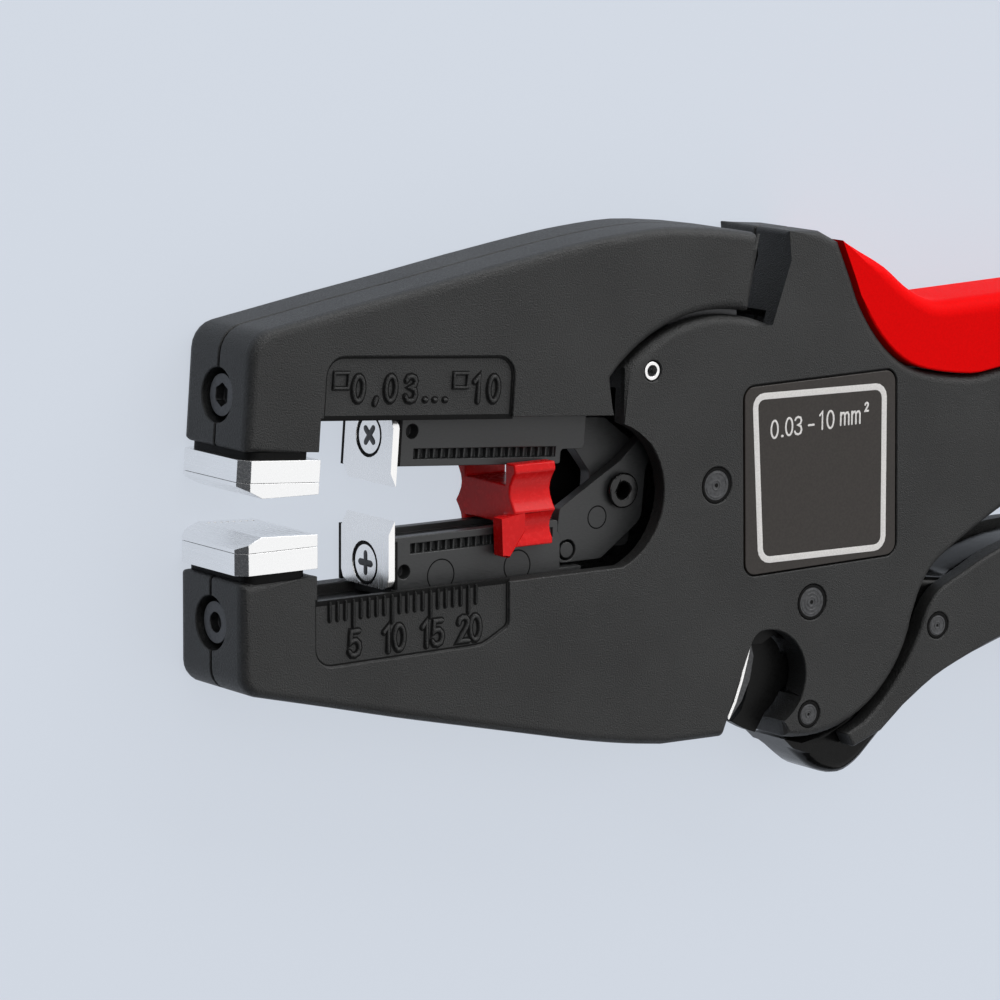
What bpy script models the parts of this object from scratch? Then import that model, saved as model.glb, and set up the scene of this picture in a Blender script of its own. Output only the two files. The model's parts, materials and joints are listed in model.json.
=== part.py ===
"""Automatic wire stripper, lying on the far side face of its housing.

Lengths are in millimetres and turned into metres when a mesh is made. The drawing plane is X, Y: X
runs from the mouth towards the handles, with X = 0 at the rear of the jaw blocks, and Y runs from
the fixed lower jaw to the upper jaw, with Y = 0 at the lower edge of the window. Z is the thickness,
with Z = 0 at the far side face. The pieces stand as in a stroke that is two thirds done.
"""

import bpy
import bmesh
from math import acos, atan, atan2, cos, degrees, hypot, pi, radians, sin, sqrt, tan
from mathutils import Vector

MM = 0.001

# Housing
THICKNESS = 12.5
SKIN = 1.9
PARTING_GAP = 0.3
CLEAR = 0.3
EDGE_ROUND = 1.1
WINDOW_HEIGHT = 16.0
WINDOW_END = 46.4
DOME_RADIUS = 8.5
JAW_FRONT = -9.2
JAW_BLOCK_REAR = 0.2
JAW_FACE_STEP = 3.1
JAW_TIP_DEPTH = 8.8
JAW_SLOPE = 12.0
LOWER_SWELL = ((2.3, 0.25), (11.0, 0.5), (20.0, 0.6), (29.0, 0.65), (36.0, 0.7), (42.0, 0.5), (47.0, 0.1))
UPPER_SWELL = ((38.0, 1.0), (31.7, 1.1), (22.6, 0.95), (13.5, 0.65), (4.4, 0.45))
HUB_RADIUS = 19.1
HUB_LEFT = 41.0
HUB_GAP = 0.6
FINGER_FOOT = 0.4
FINGER_RISE = 8.9
TONGUE_RISE = 5.9
PANEL_DEPTH = 0.35

# Pivots and pins
JAW_PIVOT_X = 53.8
LEVER_PIVOT = (67.8, -6.7)
PIN_RADIUS = 1.8
PIN_RECESS = 0.1
RIVET = (67.6, -19.7)
RIVET_RADIUS = 1.3
SPRING_PIN_ANGLE = 124.1
SPRING_PIN_INSET = 2.7
SPRING_PIN_RADIUS = 1.05
SPRING_PIN_LENGTH = 3.2
CHEEK_PIN = (86.7, -11.4)
HANDLE_RIVETS = ((121.0, 12.0), (166.0, -3.0))
LEVER_RIVETS = ((124.0, -9.4), (168.0, -26.4))

# Motion
JAW_OPEN = 4.1
LEVER_OPEN = 20.0
LEVER_SQUEEZE = 8.0
PULL_PER_DEGREE = 0.47

# Grip plates and front screws
PLATE_FRONT = -9.5
PLATE_SEAT = 0.8
PLATE_HEIGHT = 4.0
PLATE_REAR_DROP = 0.35
PLATE_BEVEL_LENGTH = 2.7
PLATE_BEVEL_DROP = 1.2
PLATE_CHAMFER = 1.1
TANG_LENGTH = 3.0
TANG_WIDTH = 6.1
FRONT_SCREW_DEPTH = 1.9
FRONT_SCREW_RADIUS = 2.3
FRONT_SCREW_RECESS = 2.95
FRONT_SCREW_SHANK = 1.3

# Carriers, blades and length stop
CARRIER_WIDTH = 6.9
CARRIER_FRONT = 11.5
CARRIER_REAR = 37.0
CARRIER_TOP = 5.6
GROOVE_DEPTH = 1.2
RACK_LOW = 3.7
RACK_HIGH = 4.8
RACK_DEPTH = 0.9
RACK_RIB = 0.22
RACK_RIB_DEPTH = 0.3
RACK_PITCH = 1.0
RACK_TEETH = 19
MARK_HOLE_RADIUS = 0.8
MARK_HOLE_DEPTH = 1.4
BLADE_WIDTH = 9.1
BLADE_THICKNESS = 0.8
BLADE_BACK_EDGE = 7.7
BLADE_FRONT_EDGE = 6.2
BLADE_SCREW_Y = 2.6
BLADE_SCREW_RADIUS = 2.1
STOP_FACE = 26.4
STOP_LENGTH = 5.5
STOP_RANGE = (-12.0, 1.0)
STOP_TOP = 12.6
STOP_BOTTOM = 3.4

# Pull plate, swing arm and cutter
PULL_PIN_X = 43.0
PULL_FOOT_X = CARRIER_REAR - 2.6
ARM_FOOT_LOW = 12.2
ARM_FOOT_HIGH = 15.2
PULL_PIN_RADIUS = 1.4
PULL_PIN_HEAD = 1.7
SWING_RADIUS = 12.5
LINK_PIN_RADIUS = 1.2
PLATE_THICKNESS = 1.4
NOTCH_CENTRE = (61.3, -15.0)
NOTCH_RADIUS = 5.75
CUTTER_REACH = 16.3

CUTTER_LOW = 9.25
CUTTER_HIGH = 10.25
ANVIL_THICKNESS = 1.5
CUTTER_EDGE = ((60.5, -11.2), (60.2, -12.6), (59.4, -15.2), (58.5, -17.6), (57.5, -19.5))
ANVIL_EDGE = ((61.2, -10.9), (61.7, -13.2), (61.6, -15.5), (61.1, -17.6), (60.5, -19.0))

# Handles
HUB_ROOM = 4.2
SPRING_SEAT = 4.6
LEVER_HUB_ARC = 15.7
LEVER_GAP = 0.6
CHEEK_THICKNESS = 2.3
GRIP_ROUND = 2.0
HANDLE_END = (184.2, -12.2)
INLAY_END = (185.9, 8.6)
HANDLE_TOP = (
    (170.0, 15.2), (150.0, 21.4), (130.0, 25.4), (112.0, 27.1), (100.0, 26.9),
    (92.0, 26.6), (87.0, 26.5), (84.3, 27.2), (81.6, 28.7), (78.5, 31.1), (75.0, 33.0), (71.2, 34.3))
INLAY_LINE = (
    (184.0, -5.4), (176.0, -2.5), (165.0, 2.5), (150.0, 8.5), (130.0, 14.6), (115.0, 18.0),
    (103.0, 18.8), (95.4, 17.9), (91.0, 17.5), (84.4, 18.5), (80.5, 20.1), (77.2, 23.0),
    (74.6, 26.7), (73.1, 30.1), (71.2, 34.3))
HANDLE_BOTTOM = (
    (84.1, -7.5), (85.4, -5.3), (87.2, -3.6), (90.6, -1.6), (95.9, 1.2), (102.0, 3.7), (110.0, 4.9),
    (125.0, 4.2), (145.0, 0.6), (165.0, -5.4), (177.0, -9.6))
LEVER_END = (184.6, -31.6)
LEVER_INLAY_END = (185.0, -45.4)
LEVER_TOP = (
    (75.9, -21.6), (78.8, -19.2), (81.6, -16.0), (83.8, -12.4), (85.0, -9.6), (86.9, -7.3),
    (90.0, -5.8), (96.0, -3.3), (103.0, -1.9), (112.0, -2.2), (125.0, -5.2), (145.0, -12.0),
    (165.0, -21.4), (179.0, -29.0))
LEVER_INLAY_BOTTOM = ((165.0, -38.2), (145.0, -29.6), (125.0, -20.6), (113.0, -15.6))
CHEEK_BOTTOM = ((103.0, -12.2), (96.6, -13.8), (91.4, -15.5), (86.4, -17.5), (81.8, -20.3))
CHEEK_TIP = ((73.3, -22.7), (74.3, -24.4, 0.4), (78.5, -22.9))
CORE_BOTTOM = (
    (103.0, -13.8), (96.4, -15.7), (91.2, -17.4), (86.4, -19.9), (82.6, -22.5), (79.8, -24.9),
    (77.3, -27.0), (74.6, -28.0), (71.4, -27.2), (69.1, -25.6), (67.4, -24.1))
LEVER_INLAY_LINE = (
    (105.5, -13.5), (108.5, -10.9), (114.0, -9.9), (125.0, -13.2), (145.0, -20.6), (165.0, -29.6),
    (183.2, -38.6))
CORE_DROP = 0.8
CORE_ROUND = 1.4

# Worked-out places
AXIS_Y = WINDOW_HEIGHT / 2
MID = THICKNESS / 2
NEAR_SKIN = THICKNESS - SKIN
JAW_PIVOT = (JAW_PIVOT_X, AXIS_Y)
SPRING_PIN = (JAW_PIVOT_X + (HUB_RADIUS - SPRING_PIN_INSET) * cos(radians(SPRING_PIN_ANGLE)),
              AXIS_Y + (HUB_RADIUS - SPRING_PIN_INSET) * sin(radians(SPRING_PIN_ANGLE)))
JAW_TOP = AXIS_Y + HUB_RADIUS + FINGER_RISE
ORIGIN = (LEVER_PIVOT[0] + 1.0, AXIS_Y + 0.3)
STROKE_FORWARD = LEVER_OPEN * PULL_PER_DEGREE
STROKE_BACK = LEVER_SQUEEZE * PULL_PER_DEGREE
STROKE_OFFSET = (STROKE_FORWARD - STROKE_BACK) / 2
SWING_HALF = degrees(atan((STROKE_FORWARD + STROKE_BACK) / 2 / SWING_RADIUS))
SWING_PER_LEVER = 2 * SWING_HALF / (LEVER_OPEN + LEVER_SQUEEZE)
BORE = PIN_RADIUS + CLEAR


def material(name, colour, roughness, metallic):
    """Plain material with one colour, roughness and metallic value."""
    made = bpy.data.materials.new(name)
    made.use_nodes = True
    shader = made.node_tree.nodes["Principled BSDF"]
    shader.inputs["Base Color"].default_value = (*colour, 1.0)
    shader.inputs["Roughness"].default_value = roughness
    shader.inputs["Metallic"].default_value = metallic
    return made


def polar(centre, radius, angle):
    """Point at a radius and an angle in degrees from a centre."""
    return centre[0] + radius * cos(radians(angle)), centre[1] + radius * sin(radians(angle))


def arc(centre, radius, start, end, step=9.0):
    """Points along a circle from one angle to another."""
    count = max(2, round(abs(end - start) / step))
    return [polar(centre, radius, start + (end - start) * i / count) for i in range(count + 1)]


def circle(centre, radius, count=24):
    """Closed ring of points."""
    return [polar(centre, radius, 360.0 * i / count) for i in range(count)]


def smooth(points, parts=3):
    """Points along a Catmull-Rom curve that passes through the given points."""
    ends = [points[0], *points, points[-1]]
    run = []
    for a, b, c, d in zip(ends, ends[1:], ends[2:], ends[3:]):
        for i in range(parts):
            t = i / parts
            run.append(tuple(
                b[k] + t * (c[k] - a[k]) / 2
                + t * t * (a[k] - 2.5 * b[k] + 2 * c[k] - d[k] / 2)
                + t ** 3 * (1.5 * (b[k] - c[k]) + (d[k] - a[k]) / 2)
                for k in (0, 1)))
    return [*run, points[-1]]


def outline(items, distance=0.0, crisp=None):
    """Closed outline moved inwards by a distance; an item (x, y, radius) becomes a round corner.

    Crisp points stay where they are, and the move fades out next to them.
    """
    items = [item for item, last in zip(items, items[-1:] + items[:-1])
             if hypot(item[0] - last[0], item[1] - last[1]) > 0.04]
    base = [Vector(item[:2]) for item in items]
    side = 1 if sum(a.cross(b) for a, b in zip(base, base[1:] + base[:1])) > 0 else -1
    fixed = [point for point in base if crisp and crisp(point.x, point.y)]
    moved = []
    for i, at in enumerate(base):
        if crisp and crisp(at.x, at.y):
            moved.append(at)
            continue
        before = (at - base[i - 1]).normalized()
        after = (base[(i + 1) % len(base)] - at).normalized()
        normal = Vector((-before.y - after.y, before.x + after.x)).normalized() * side
        stretch = max(0.4, normal.dot(Vector((-before.y, before.x)) * side))
        near = min([(at - point).length for point in fixed], default=1000.0)
        moved.append(at + normal * min(distance, near * 0.4) / stretch)
    points = []
    for i, item in enumerate(items):
        at = moved[i]
        if len(item) == 2:
            points.append((at.x, at.y))
            continue
        back = (base[i - 1] - base[i]).normalized()
        ahead = (base[(i + 1) % len(base)] - base[i]).normalized()
        steps = max(2, round(degrees(pi - back.angle(ahead)) / 15))
        convex = (back.cross(ahead) > 0) != (side > 0)
        back = (moved[i - 1] - at).normalized()
        ahead = (moved[(i + 1) % len(base)] - at).normalized()
        half = back.angle(ahead) / 2
        radius = max(0.12, item[2] - distance if convex else item[2] + distance)
        centre = at + (back + ahead).normalized() * radius / sin(half)
        first = at + back * radius / tan(half) - centre
        turn = (pi - 2 * half) * (-1 if back.cross(ahead) > 0 else 1)
        begin = atan2(first.y, first.x)
        for k in range(steps + 1):
            angle = begin + turn * k / steps
            points.append((centre.x + radius * cos(angle), centre.y + radius * sin(angle)))
    return points


def shifted(points, distance):
    """Open run of points moved sideways, to the left of its direction."""
    moved = []
    for i, point in enumerate(points):
        back = Vector(points[max(i - 1, 0)])
        ahead = Vector(points[min(i + 1, len(points) - 1)])
        along = (ahead - back).normalized()
        moved.append((point[0] - along.y * distance, point[1] + along.x * distance))
    return moved


def mirrored(points):
    """Points of the lower jaw's side carried over to the upper jaw's side, about the jaw axis."""
    return [(x, 2 * AXIS_Y - y, *rest) for x, y, *rest in points]


def mesh_of(name, rings, axis):
    """Closed mesh through rings of equal length, each a list of points at one level along an axis."""
    order = {"Z": (0, 1, 2), "X": (2, 0, 1), "Y": (1, 2, 0)}[axis]
    shape = bmesh.new()
    rows = []
    for level, points in rings:
        row = []
        for u, v in points:
            local = (u, v, level)
            row.append(shape.verts.new([local[k] * MM for k in order]))
        rows.append(row)
    count = len(rows[0])
    for low, high in zip(rows, rows[1:]):
        for i in range(count):
            j = (i + 1) % count
            shape.faces.new((low[i], low[j], high[j], high[i]))
    shape.faces.new(list(reversed(rows[0])))
    shape.faces.new(rows[-1])
    bmesh.ops.recalc_face_normals(shape, faces=shape.faces)
    mesh = bpy.data.meshes.new(name)
    shape.to_mesh(mesh)
    shape.free()
    return mesh


def slab(name, items, low, high, frame, surface=None, axis="Z", soft_low=0.0, soft_high=0.0,
         crisp=None, grow=0.0):
    """Plate of one outline between two levels, with its outer edges rounded where asked.

    Along Z the outline is (x, y); along X it is (y, z); along Y it is (z, x).
    """
    turns = [radians(30.0 * k) for k in range(4)]
    if soft_low:
        rings = [(low + soft_low * (1 - cos(t)), outline(items, soft_low * (1 - sin(t)) - grow, crisp))
                 for t in turns]
    else:
        rings = [(low, outline(items, -grow))]
    if soft_high:
        rings += [(high - soft_high * (1 - sin(t)), outline(items, soft_high * (1 - cos(t)) - grow, crisp))
                  for t in turns]
    else:
        rings.append((high, outline(items, -grow)))
    made = bpy.data.objects.new(name, mesh_of(name, rings, axis))
    bpy.context.collection.objects.link(made)
    made.parent = frame
    origin = frame["origin"]
    made.data.transform(made.matrix_basis.Translation(Vector((-origin[0], -origin[1], 0)) * MM))
    if surface:
        made.data.materials.append(surface)
    else:
        made.hide_render = True
        made.display_type = "WIRE"
    return made


def cut(target, *cutters, mode="DIFFERENCE"):
    """Boolean with each cutter in turn."""
    for cutter in cutters:
        step = target.modifiers.new(cutter.name, "BOOLEAN")
        step.operation = mode
        step.solver = "EXACT"
        step.object = cutter
    return target


def rounded_look(thing, angle=35.0):
    """Smooth shading with sharp edges kept."""
    thing.data.shade_smooth()
    thing.data.set_sharp_from_angle(angle=radians(angle))
    return thing


def frame_at(name, origin, parent=None, turn=0.0):
    """Empty that carries the pieces of one moving body."""
    empty = bpy.data.objects.new(name, None)
    empty["origin"] = origin
    base = parent["origin"] if parent else ORIGIN
    empty.parent = parent
    empty.location = Vector((origin[0] - base[0], origin[1] - base[1], 0)) * MM
    empty.rotation_euler = (0, 0, radians(turn))
    bpy.context.collection.objects.link(empty)
    return empty


for old in list(bpy.data.objects):
    bpy.data.objects.remove(old, do_unlink=True)

BLACK = material("black_plastic", (0.040, 0.042, 0.042), 0.52, 0.0)
GREY = material("grey_plastic", (0.062, 0.063, 0.064), 0.48, 0.0)
GLOSS = material("black_lever", (0.012, 0.012, 0.012), 0.25, 0.0)
RED = material("red_soft", (0.78, 0.004, 0.006), 0.45, 0.0)
STOP_RED = material("red_stop", (0.65, 0.014, 0.013), 0.35, 0.0)
ALUMINIUM = material("aluminium", (0.82, 0.83, 0.84), 0.25, 1.0)
STEEL = material("steel", (0.62, 0.62, 0.63), 0.28, 1.0)
DARK_STEEL = material("dark_steel", (0.075, 0.075, 0.078), 0.4, 0.9)
LABEL = material("label", (0.045, 0.039, 0.036), 0.4, 0.3)

tool = frame_at("tool", ORIGIN)
jaw_frame = frame_at("jaw_pivot", JAW_PIVOT, tool, -JAW_OPEN)
swing_frame = frame_at("swing_pivot", JAW_PIVOT, tool)
lever_frame = frame_at("lever_pivot", LEVER_PIVOT, tool)
lower_frame = frame_at("lower_slide", (CARRIER_FRONT, 0.0), tool)
upper_frame = frame_at("upper_slide", (CARRIER_FRONT, 2 * AXIS_Y), jaw_frame)
stop_frame = frame_at("stop_slide", (STOP_FACE, 0.0), lower_frame)


def jaw_bottom(x):
    """Height of the lower jaw's sloping outer edge."""
    return -JAW_TIP_DEPTH - (x - JAW_FRONT) * tan(radians(JAW_SLOPE))


def window_edge(x, y):
    """True on the crisp edges of the window, the jaw face, the notch and the finger by the jaw."""
    notch = hypot(x - NOTCH_CENTRE[0], y - NOTCH_CENTRE[1]) < NOTCH_RADIUS + 0.05
    jaw = JAW_BLOCK_REAR - 0.4 < x < WINDOW_END + 0.1 and -0.01 < y < 2 * AXIS_Y + 0.4
    finger = finger_foot[0] - 0.1 < x < finger_x + 0.1 and y > finger_foot[1] - 0.1
    return notch or jaw or finger


# Housing outline: lower jaw, cutter notch, lever arc, handle, hub and window in one loop
dome_centre = (WINDOW_END - DOME_RADIUS, AXIS_Y)
dome_angle = degrees(atan2(AXIS_Y, sqrt(DOME_RADIUS ** 2 - AXIS_Y ** 2)))
hub_angle = degrees(atan2(sqrt(HUB_RADIUS ** 2 - (JAW_PIVOT_X - HUB_LEFT) ** 2), HUB_LEFT - JAW_PIVOT_X))
flat_x = 47.0
notch_lip = jaw_bottom(flat_x) - 0.2
finger_foot = (JAW_PIVOT_X + HUB_RADIUS * FINGER_FOOT, AXIS_Y + HUB_RADIUS * sqrt(1 - FINGER_FOOT ** 2))
finger_x = finger_foot[0] + 2.6
housing_outline = [
    (JAW_BLOCK_REAR, 0.0),
    (JAW_BLOCK_REAR, JAW_FACE_STEP, 0.3),
    (JAW_FRONT, JAW_FACE_STEP, 0.5),
    (JAW_FRONT, jaw_bottom(JAW_FRONT), 2.6),
    *smooth([(x, jaw_bottom(x) - swell) for x, swell in LOWER_SWELL]),
    (NOTCH_CENTRE[0] - 5.8, notch_lip, 0.9),
    (NOTCH_CENTRE[0] - 1.9, NOTCH_CENTRE[1] + 5.2, 0.8),
    *arc(NOTCH_CENTRE, NOTCH_RADIUS, 100.0, -62.0),
    *arc(LEVER_PIVOT, LEVER_HUB_ARC, -103.0, -12.0, 6.0),
    *smooth(HANDLE_BOTTOM),
    (HANDLE_END[0], HANDLE_END[1], 3.0),
    *smooth(INLAY_LINE),
    (68.6, JAW_TOP - 0.4),
    (finger_x - 0.4, JAW_TOP, 0.5),
    (finger_x, JAW_TOP - 3.4),
    finger_foot,
    *arc(JAW_PIVOT, HUB_RADIUS, degrees(acos(FINGER_FOOT)) + 3.0, hub_angle, 5.0),
    *arc(dome_centre, DOME_RADIUS, dome_angle, -dome_angle, 8.0),
]

near_half = slab("housing_near", housing_outline, MID + PARTING_GAP / 2, THICKNESS, tool, BLACK,
                 soft_high=EDGE_ROUND, crisp=window_edge)
far_half = slab("housing_far", housing_outline, 0.0, MID - PARTING_GAP / 2, tool, BLACK,
                soft_low=EDGE_ROUND, crisp=window_edge)

# Mechanism space between the skins
cavity_low = SKIN
cavity_high = NEAR_SKIN
rim_open = HUB_RADIUS + 1.5
hub_room = slab("hub_room", [
    *arc(JAW_PIVOT, rim_open, 60.0, 119.0),
    *arc(JAW_PIVOT, HUB_RADIUS - 1.6, 121.0, 418.0)], cavity_low, cavity_high, tool)
window_room = slab("window_room", [
    (HUB_LEFT - 6.0, -GROOVE_DEPTH), (WINDOW_END + 4.0, -GROOVE_DEPTH, 2.0),
    (WINDOW_END + 4.0, 2 * AXIS_Y + 1.0), (HUB_LEFT - 6.0, 2 * AXIS_Y + 1.0)],
    cavity_low, cavity_high, tool)
carrier_low = MID - CARRIER_WIDTH / 2
carrier_high = MID + CARRIER_WIDTH / 2
carrier_groove = slab("carrier_groove", [
    (JAW_BLOCK_REAR - 0.4, -GROOVE_DEPTH), (WINDOW_END, -GROOVE_DEPTH), (WINDOW_END, 0.6),
    (JAW_BLOCK_REAR - 0.4, 0.6)], carrier_low - CLEAR, carrier_high + CLEAR, tool)
lever_room = slab("lever_room", [
    *arc(LEVER_PIVOT, HUB_ROOM, 200.0, 265.0),
    polar(LEVER_PIVOT, LEVER_HUB_ARC + 3.0, -76.5),
    (LEVER_PIVOT[0] + 24.0, LEVER_PIVOT[1] - 14.0),
    (LEVER_PIVOT[0] + 24.0, LEVER_PIVOT[1] + 10.0),
    (LEVER_PIVOT[0] + 17.0, SPRING_SEAT),
    (LEVER_PIVOT[0] - 2.0, SPRING_SEAT),
    (LEVER_PIVOT[0] - 8.0, LEVER_PIVOT[1] + 14.0),
    (LEVER_PIVOT[0] - 15.0, LEVER_PIVOT[1] + 6.0)], cavity_low, cavity_high, tool)
blade_sweep = slab("blade_sweep", [
    LEVER_PIVOT, *arc(LEVER_PIVOT, CUTTER_REACH + 0.6, -117.0, -196.0)], CUTTER_LOW - CLEAR,
    cavity_high, tool)
blade_hub_room = slab("blade_hub_room", circle(LEVER_PIVOT, HUB_ROOM + 0.6), CUTTER_LOW - CLEAR,
                      cavity_high, tool)
for half in (near_half, far_half):
    cut(half, hub_room, window_room, carrier_groove, lever_room)
cut(near_half, blade_sweep, blade_hub_room)

# Handle halves are pocketed between their rivets
handle_pockets = (
    ((92.0, 2.4), (103.0, 6.6), (116.5, 7.2), (116.5, 15.0), (104.0, 16.0), (93.0, 14.6)),
    ((125.5, 6.8), (145.0, 3.2), (160.5, -1.4), (160.5, 1.9), (146.0, 7.6), (125.5, 13.2)))
for number, corners in enumerate(handle_pockets):
    pocket = slab(f"handle_pocket_{number}", [(x, y, 1.5) for x, y in corners],
                  cavity_low, cavity_high, tool)
    cut(near_half, pocket)
    cut(far_half, pocket)

# Ruler panel and maker's panel recesses on both side faces
lower_panel = [
    (JAW_BLOCK_REAR - 0.2, 0.5), (JAW_BLOCK_REAR - 0.2, -7.0, 2.2), (21.9, -6.7, 3.6), (25.3, -4.9, 1.0),
    (25.3, 0.5)]
for half, low, high in ((near_half, THICKNESS - PANEL_DEPTH, THICKNESS + 1.0),
                        (far_half, -1.0, PANEL_DEPTH)):
    cut(half, slab(half.name + "_panel", lower_panel, low, high, tool))

# Label plate in its pocket on the near side face
label_turn = 1.2
label_centre = (68.8, 8.2)


def label_outline(width, height, corner):
    """Rounded rectangle about the label's centre, turned with it."""
    c, s = cos(radians(label_turn)), sin(radians(label_turn))
    box = [(-width / 2, -height / 2), (width / 2, -height / 2), (width / 2, height / 2),
           (-width / 2, height / 2)]
    return [(label_centre[0] + c * x - s * y, label_centre[1] + s * x + c * y, corner)
                    for x, y in box]


label_size = (22.0, 21.4)
label_thickness = 0.4
cut(near_half, slab("label_pocket", label_outline(label_size[0] + 0.4, label_size[1] + 0.4, 1.6),
                    THICKNESS - label_thickness - CLEAR, THICKNESS + 1.0, tool))
slab("label_plate", label_outline(*label_size, 1.4), THICKNESS - label_thickness, THICKNESS - 0.02,
     tool, LABEL)

# Pins and rivets through the two halves
for name, place, radius in (("jaw_pivot_pin", JAW_PIVOT, PIN_RADIUS),
                            ("lever_pivot_pin", LEVER_PIVOT, PIN_RADIUS),
                            ("housing_rivet", RIVET, RIVET_RADIUS)):
    bore = slab(name + "_bore", circle(place, radius + CLEAR), -1.0, THICKNESS + 1.0, tool)
    cut(near_half, bore)
    cut(far_half, bore)
    rounded_look(slab(name, circle(place, radius), PIN_RECESS, THICKNESS - PIN_RECESS, tool,
                      DARK_STEEL))
for number, place in enumerate(HANDLE_RIVETS):
    bore = slab(f"handle_rivet_bore_{number}", circle(place, RIVET_RADIUS + CLEAR), -1.0,
                THICKNESS + 1.0, tool)
    cut(near_half, bore)
    cut(far_half, bore)
    rounded_look(slab(f"handle_rivet_{number + 1}", circle(place, RIVET_RADIUS), PIN_RECESS,
                      THICKNESS - PIN_RECESS, tool, DARK_STEEL))

# Hollow spring pin in the near skin
spring_pin_low = THICKNESS - SPRING_PIN_LENGTH
cut(near_half, slab("spring_pin_bore", circle(SPRING_PIN, SPRING_PIN_RADIUS + 0.15), MID,
                    THICKNESS + 1.0, tool))
spring_pin = slab("spring_pin", circle(SPRING_PIN, SPRING_PIN_RADIUS), spring_pin_low,
                  THICKNESS - PIN_RECESS, tool, STEEL)
cut(spring_pin, slab("spring_pin_hole", circle(SPRING_PIN, SPRING_PIN_RADIUS - 0.4, 16),
                     spring_pin_low - 1.0, THICKNESS + 1.0, tool))
rounded_look(spring_pin)


# Upper jaw: mirrored sloping back, rear face, hub arc and window edge
rear_x = JAW_PIVOT_X + 3.9
jaw_arc = HUB_RADIUS + HUB_GAP
jaw_corner = (HUB_LEFT - 2.3, 2 * AXIS_Y)
upper_outline = [
    (JAW_BLOCK_REAR - 0.2, 2 * AXIS_Y - JAW_FACE_STEP - 0.45, 0.3),
    (JAW_BLOCK_REAR - 0.2, 2 * AXIS_Y),
    jaw_corner,
    *reversed(arc(JAW_PIVOT, jaw_arc, 81.0, 142.0, 5.0)),
    (rear_x - 0.8, AXIS_Y + jaw_arc - 0.1, 0.3),
    (rear_x, JAW_TOP + 0.3, 0.8),
    *smooth([(52.0, JAW_TOP + 0.7), (45.0, JAW_TOP + 0.75),
             *[(x, 2 * AXIS_Y - jaw_bottom(x) + swell) for x, swell in UPPER_SWELL]]),
    (JAW_FRONT, 2 * AXIS_Y - jaw_bottom(JAW_FRONT), 3.2),
    (JAW_FRONT, 2 * AXIS_Y - JAW_FACE_STEP - 0.45, 0.5),
]


def jaw_window_edge(x, y):
    """True on the crisp lower edge of the upper jaw."""
    return x > JAW_BLOCK_REAR - 0.6 and y < 2 * AXIS_Y + 0.1


jaw_near = slab("upper_jaw_near", upper_outline, MID + PARTING_GAP / 2, THICKNESS, jaw_frame, BLACK,
                soft_high=EDGE_ROUND, crisp=jaw_window_edge)
jaw_far = slab("upper_jaw_far", upper_outline, 0.0, MID - PARTING_GAP / 2, jaw_frame, BLACK,
               soft_low=EDGE_ROUND, crisp=jaw_window_edge)
upper_groove = slab("upper_groove", [
    (JAW_BLOCK_REAR - 0.6, 2 * AXIS_Y - 0.6), (HUB_LEFT, 2 * AXIS_Y - 0.6),
    (HUB_LEFT, 2 * AXIS_Y + GROOVE_DEPTH), (JAW_BLOCK_REAR - 0.6, 2 * AXIS_Y + GROOVE_DEPTH)],
    carrier_low - CLEAR, carrier_high + CLEAR, jaw_frame)
upper_panel = [
    (JAW_BLOCK_REAR + 0.2, 2 * AXIS_Y - 0.5), (24.9, 2 * AXIS_Y - 0.5), (24.9, 2 * AXIS_Y + 6.6, 2.2),
    (JAW_BLOCK_REAR + 0.2, 2 * AXIS_Y + 6.6, 2.2)]

# Tongues of the upper jaw reach between the skins to the jaw pivot
tongue_hub = 4.6
tongue_low = SKIN + CLEAR
tongue_thickness = 1.2
tongue_top = AXIS_Y + HUB_RADIUS + TONGUE_RISE
tongue_outline = [
    *arc(JAW_PIVOT, tongue_hub, 140.0, 400.0, 12.0),
    (JAW_PIVOT_X + 2.9, AXIS_Y + HUB_RADIUS, 1.0),
    (JAW_PIVOT_X + 2.0, tongue_top, 1.0),
    (JAW_PIVOT_X - 8.5, tongue_top - 1.0, 1.0),
    (JAW_PIVOT_X - 6.6, AXIS_Y + HUB_RADIUS - 1.6, 2.0)]
tongue_bore = slab("tongue_bore", circle(JAW_PIVOT, BORE), 0.0, THICKNESS, jaw_frame)
for name, shell, low in (("jaw_tongue_far", jaw_far, tongue_low),
                         ("jaw_tongue_near", jaw_near, THICKNESS - tongue_low - tongue_thickness)):
    tongue = slab(name, tongue_outline, low, low + tongue_thickness, jaw_frame, DARK_STEEL)
    cut(tongue, tongue_bore)
    cut(shell, slab(name + "_room", tongue_outline, low - CLEAR, low + tongue_thickness + CLEAR,
                    jaw_frame, grow=CLEAR))
for shell, low, high in ((jaw_near, THICKNESS - PANEL_DEPTH, THICKNESS + 1.0),
                         (jaw_far, -1.0, PANEL_DEPTH)):
    cut(shell, upper_groove, slab(shell.name + "_panel", upper_panel, low, high, jaw_frame))

# Grip plates with a tang that the front screw passes through
plate_top = JAW_FACE_STEP + PLATE_SEAT + PLATE_HEIGHT
plate_bottom = JAW_FACE_STEP + PLATE_SEAT
screw_y = -FRONT_SCREW_DEPTH
tang_x = (JAW_FRONT + 3.8, JAW_FRONT + 3.8 + TANG_LENGTH)
tang_z = (MID - TANG_WIDTH / 2, MID + TANG_WIDTH / 2)
tang_bottom = screw_y - 2.6
screw_end = tang_x[1] + 2.0
head_front = JAW_FRONT + 0.6
head_back = head_front + 1.6


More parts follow.
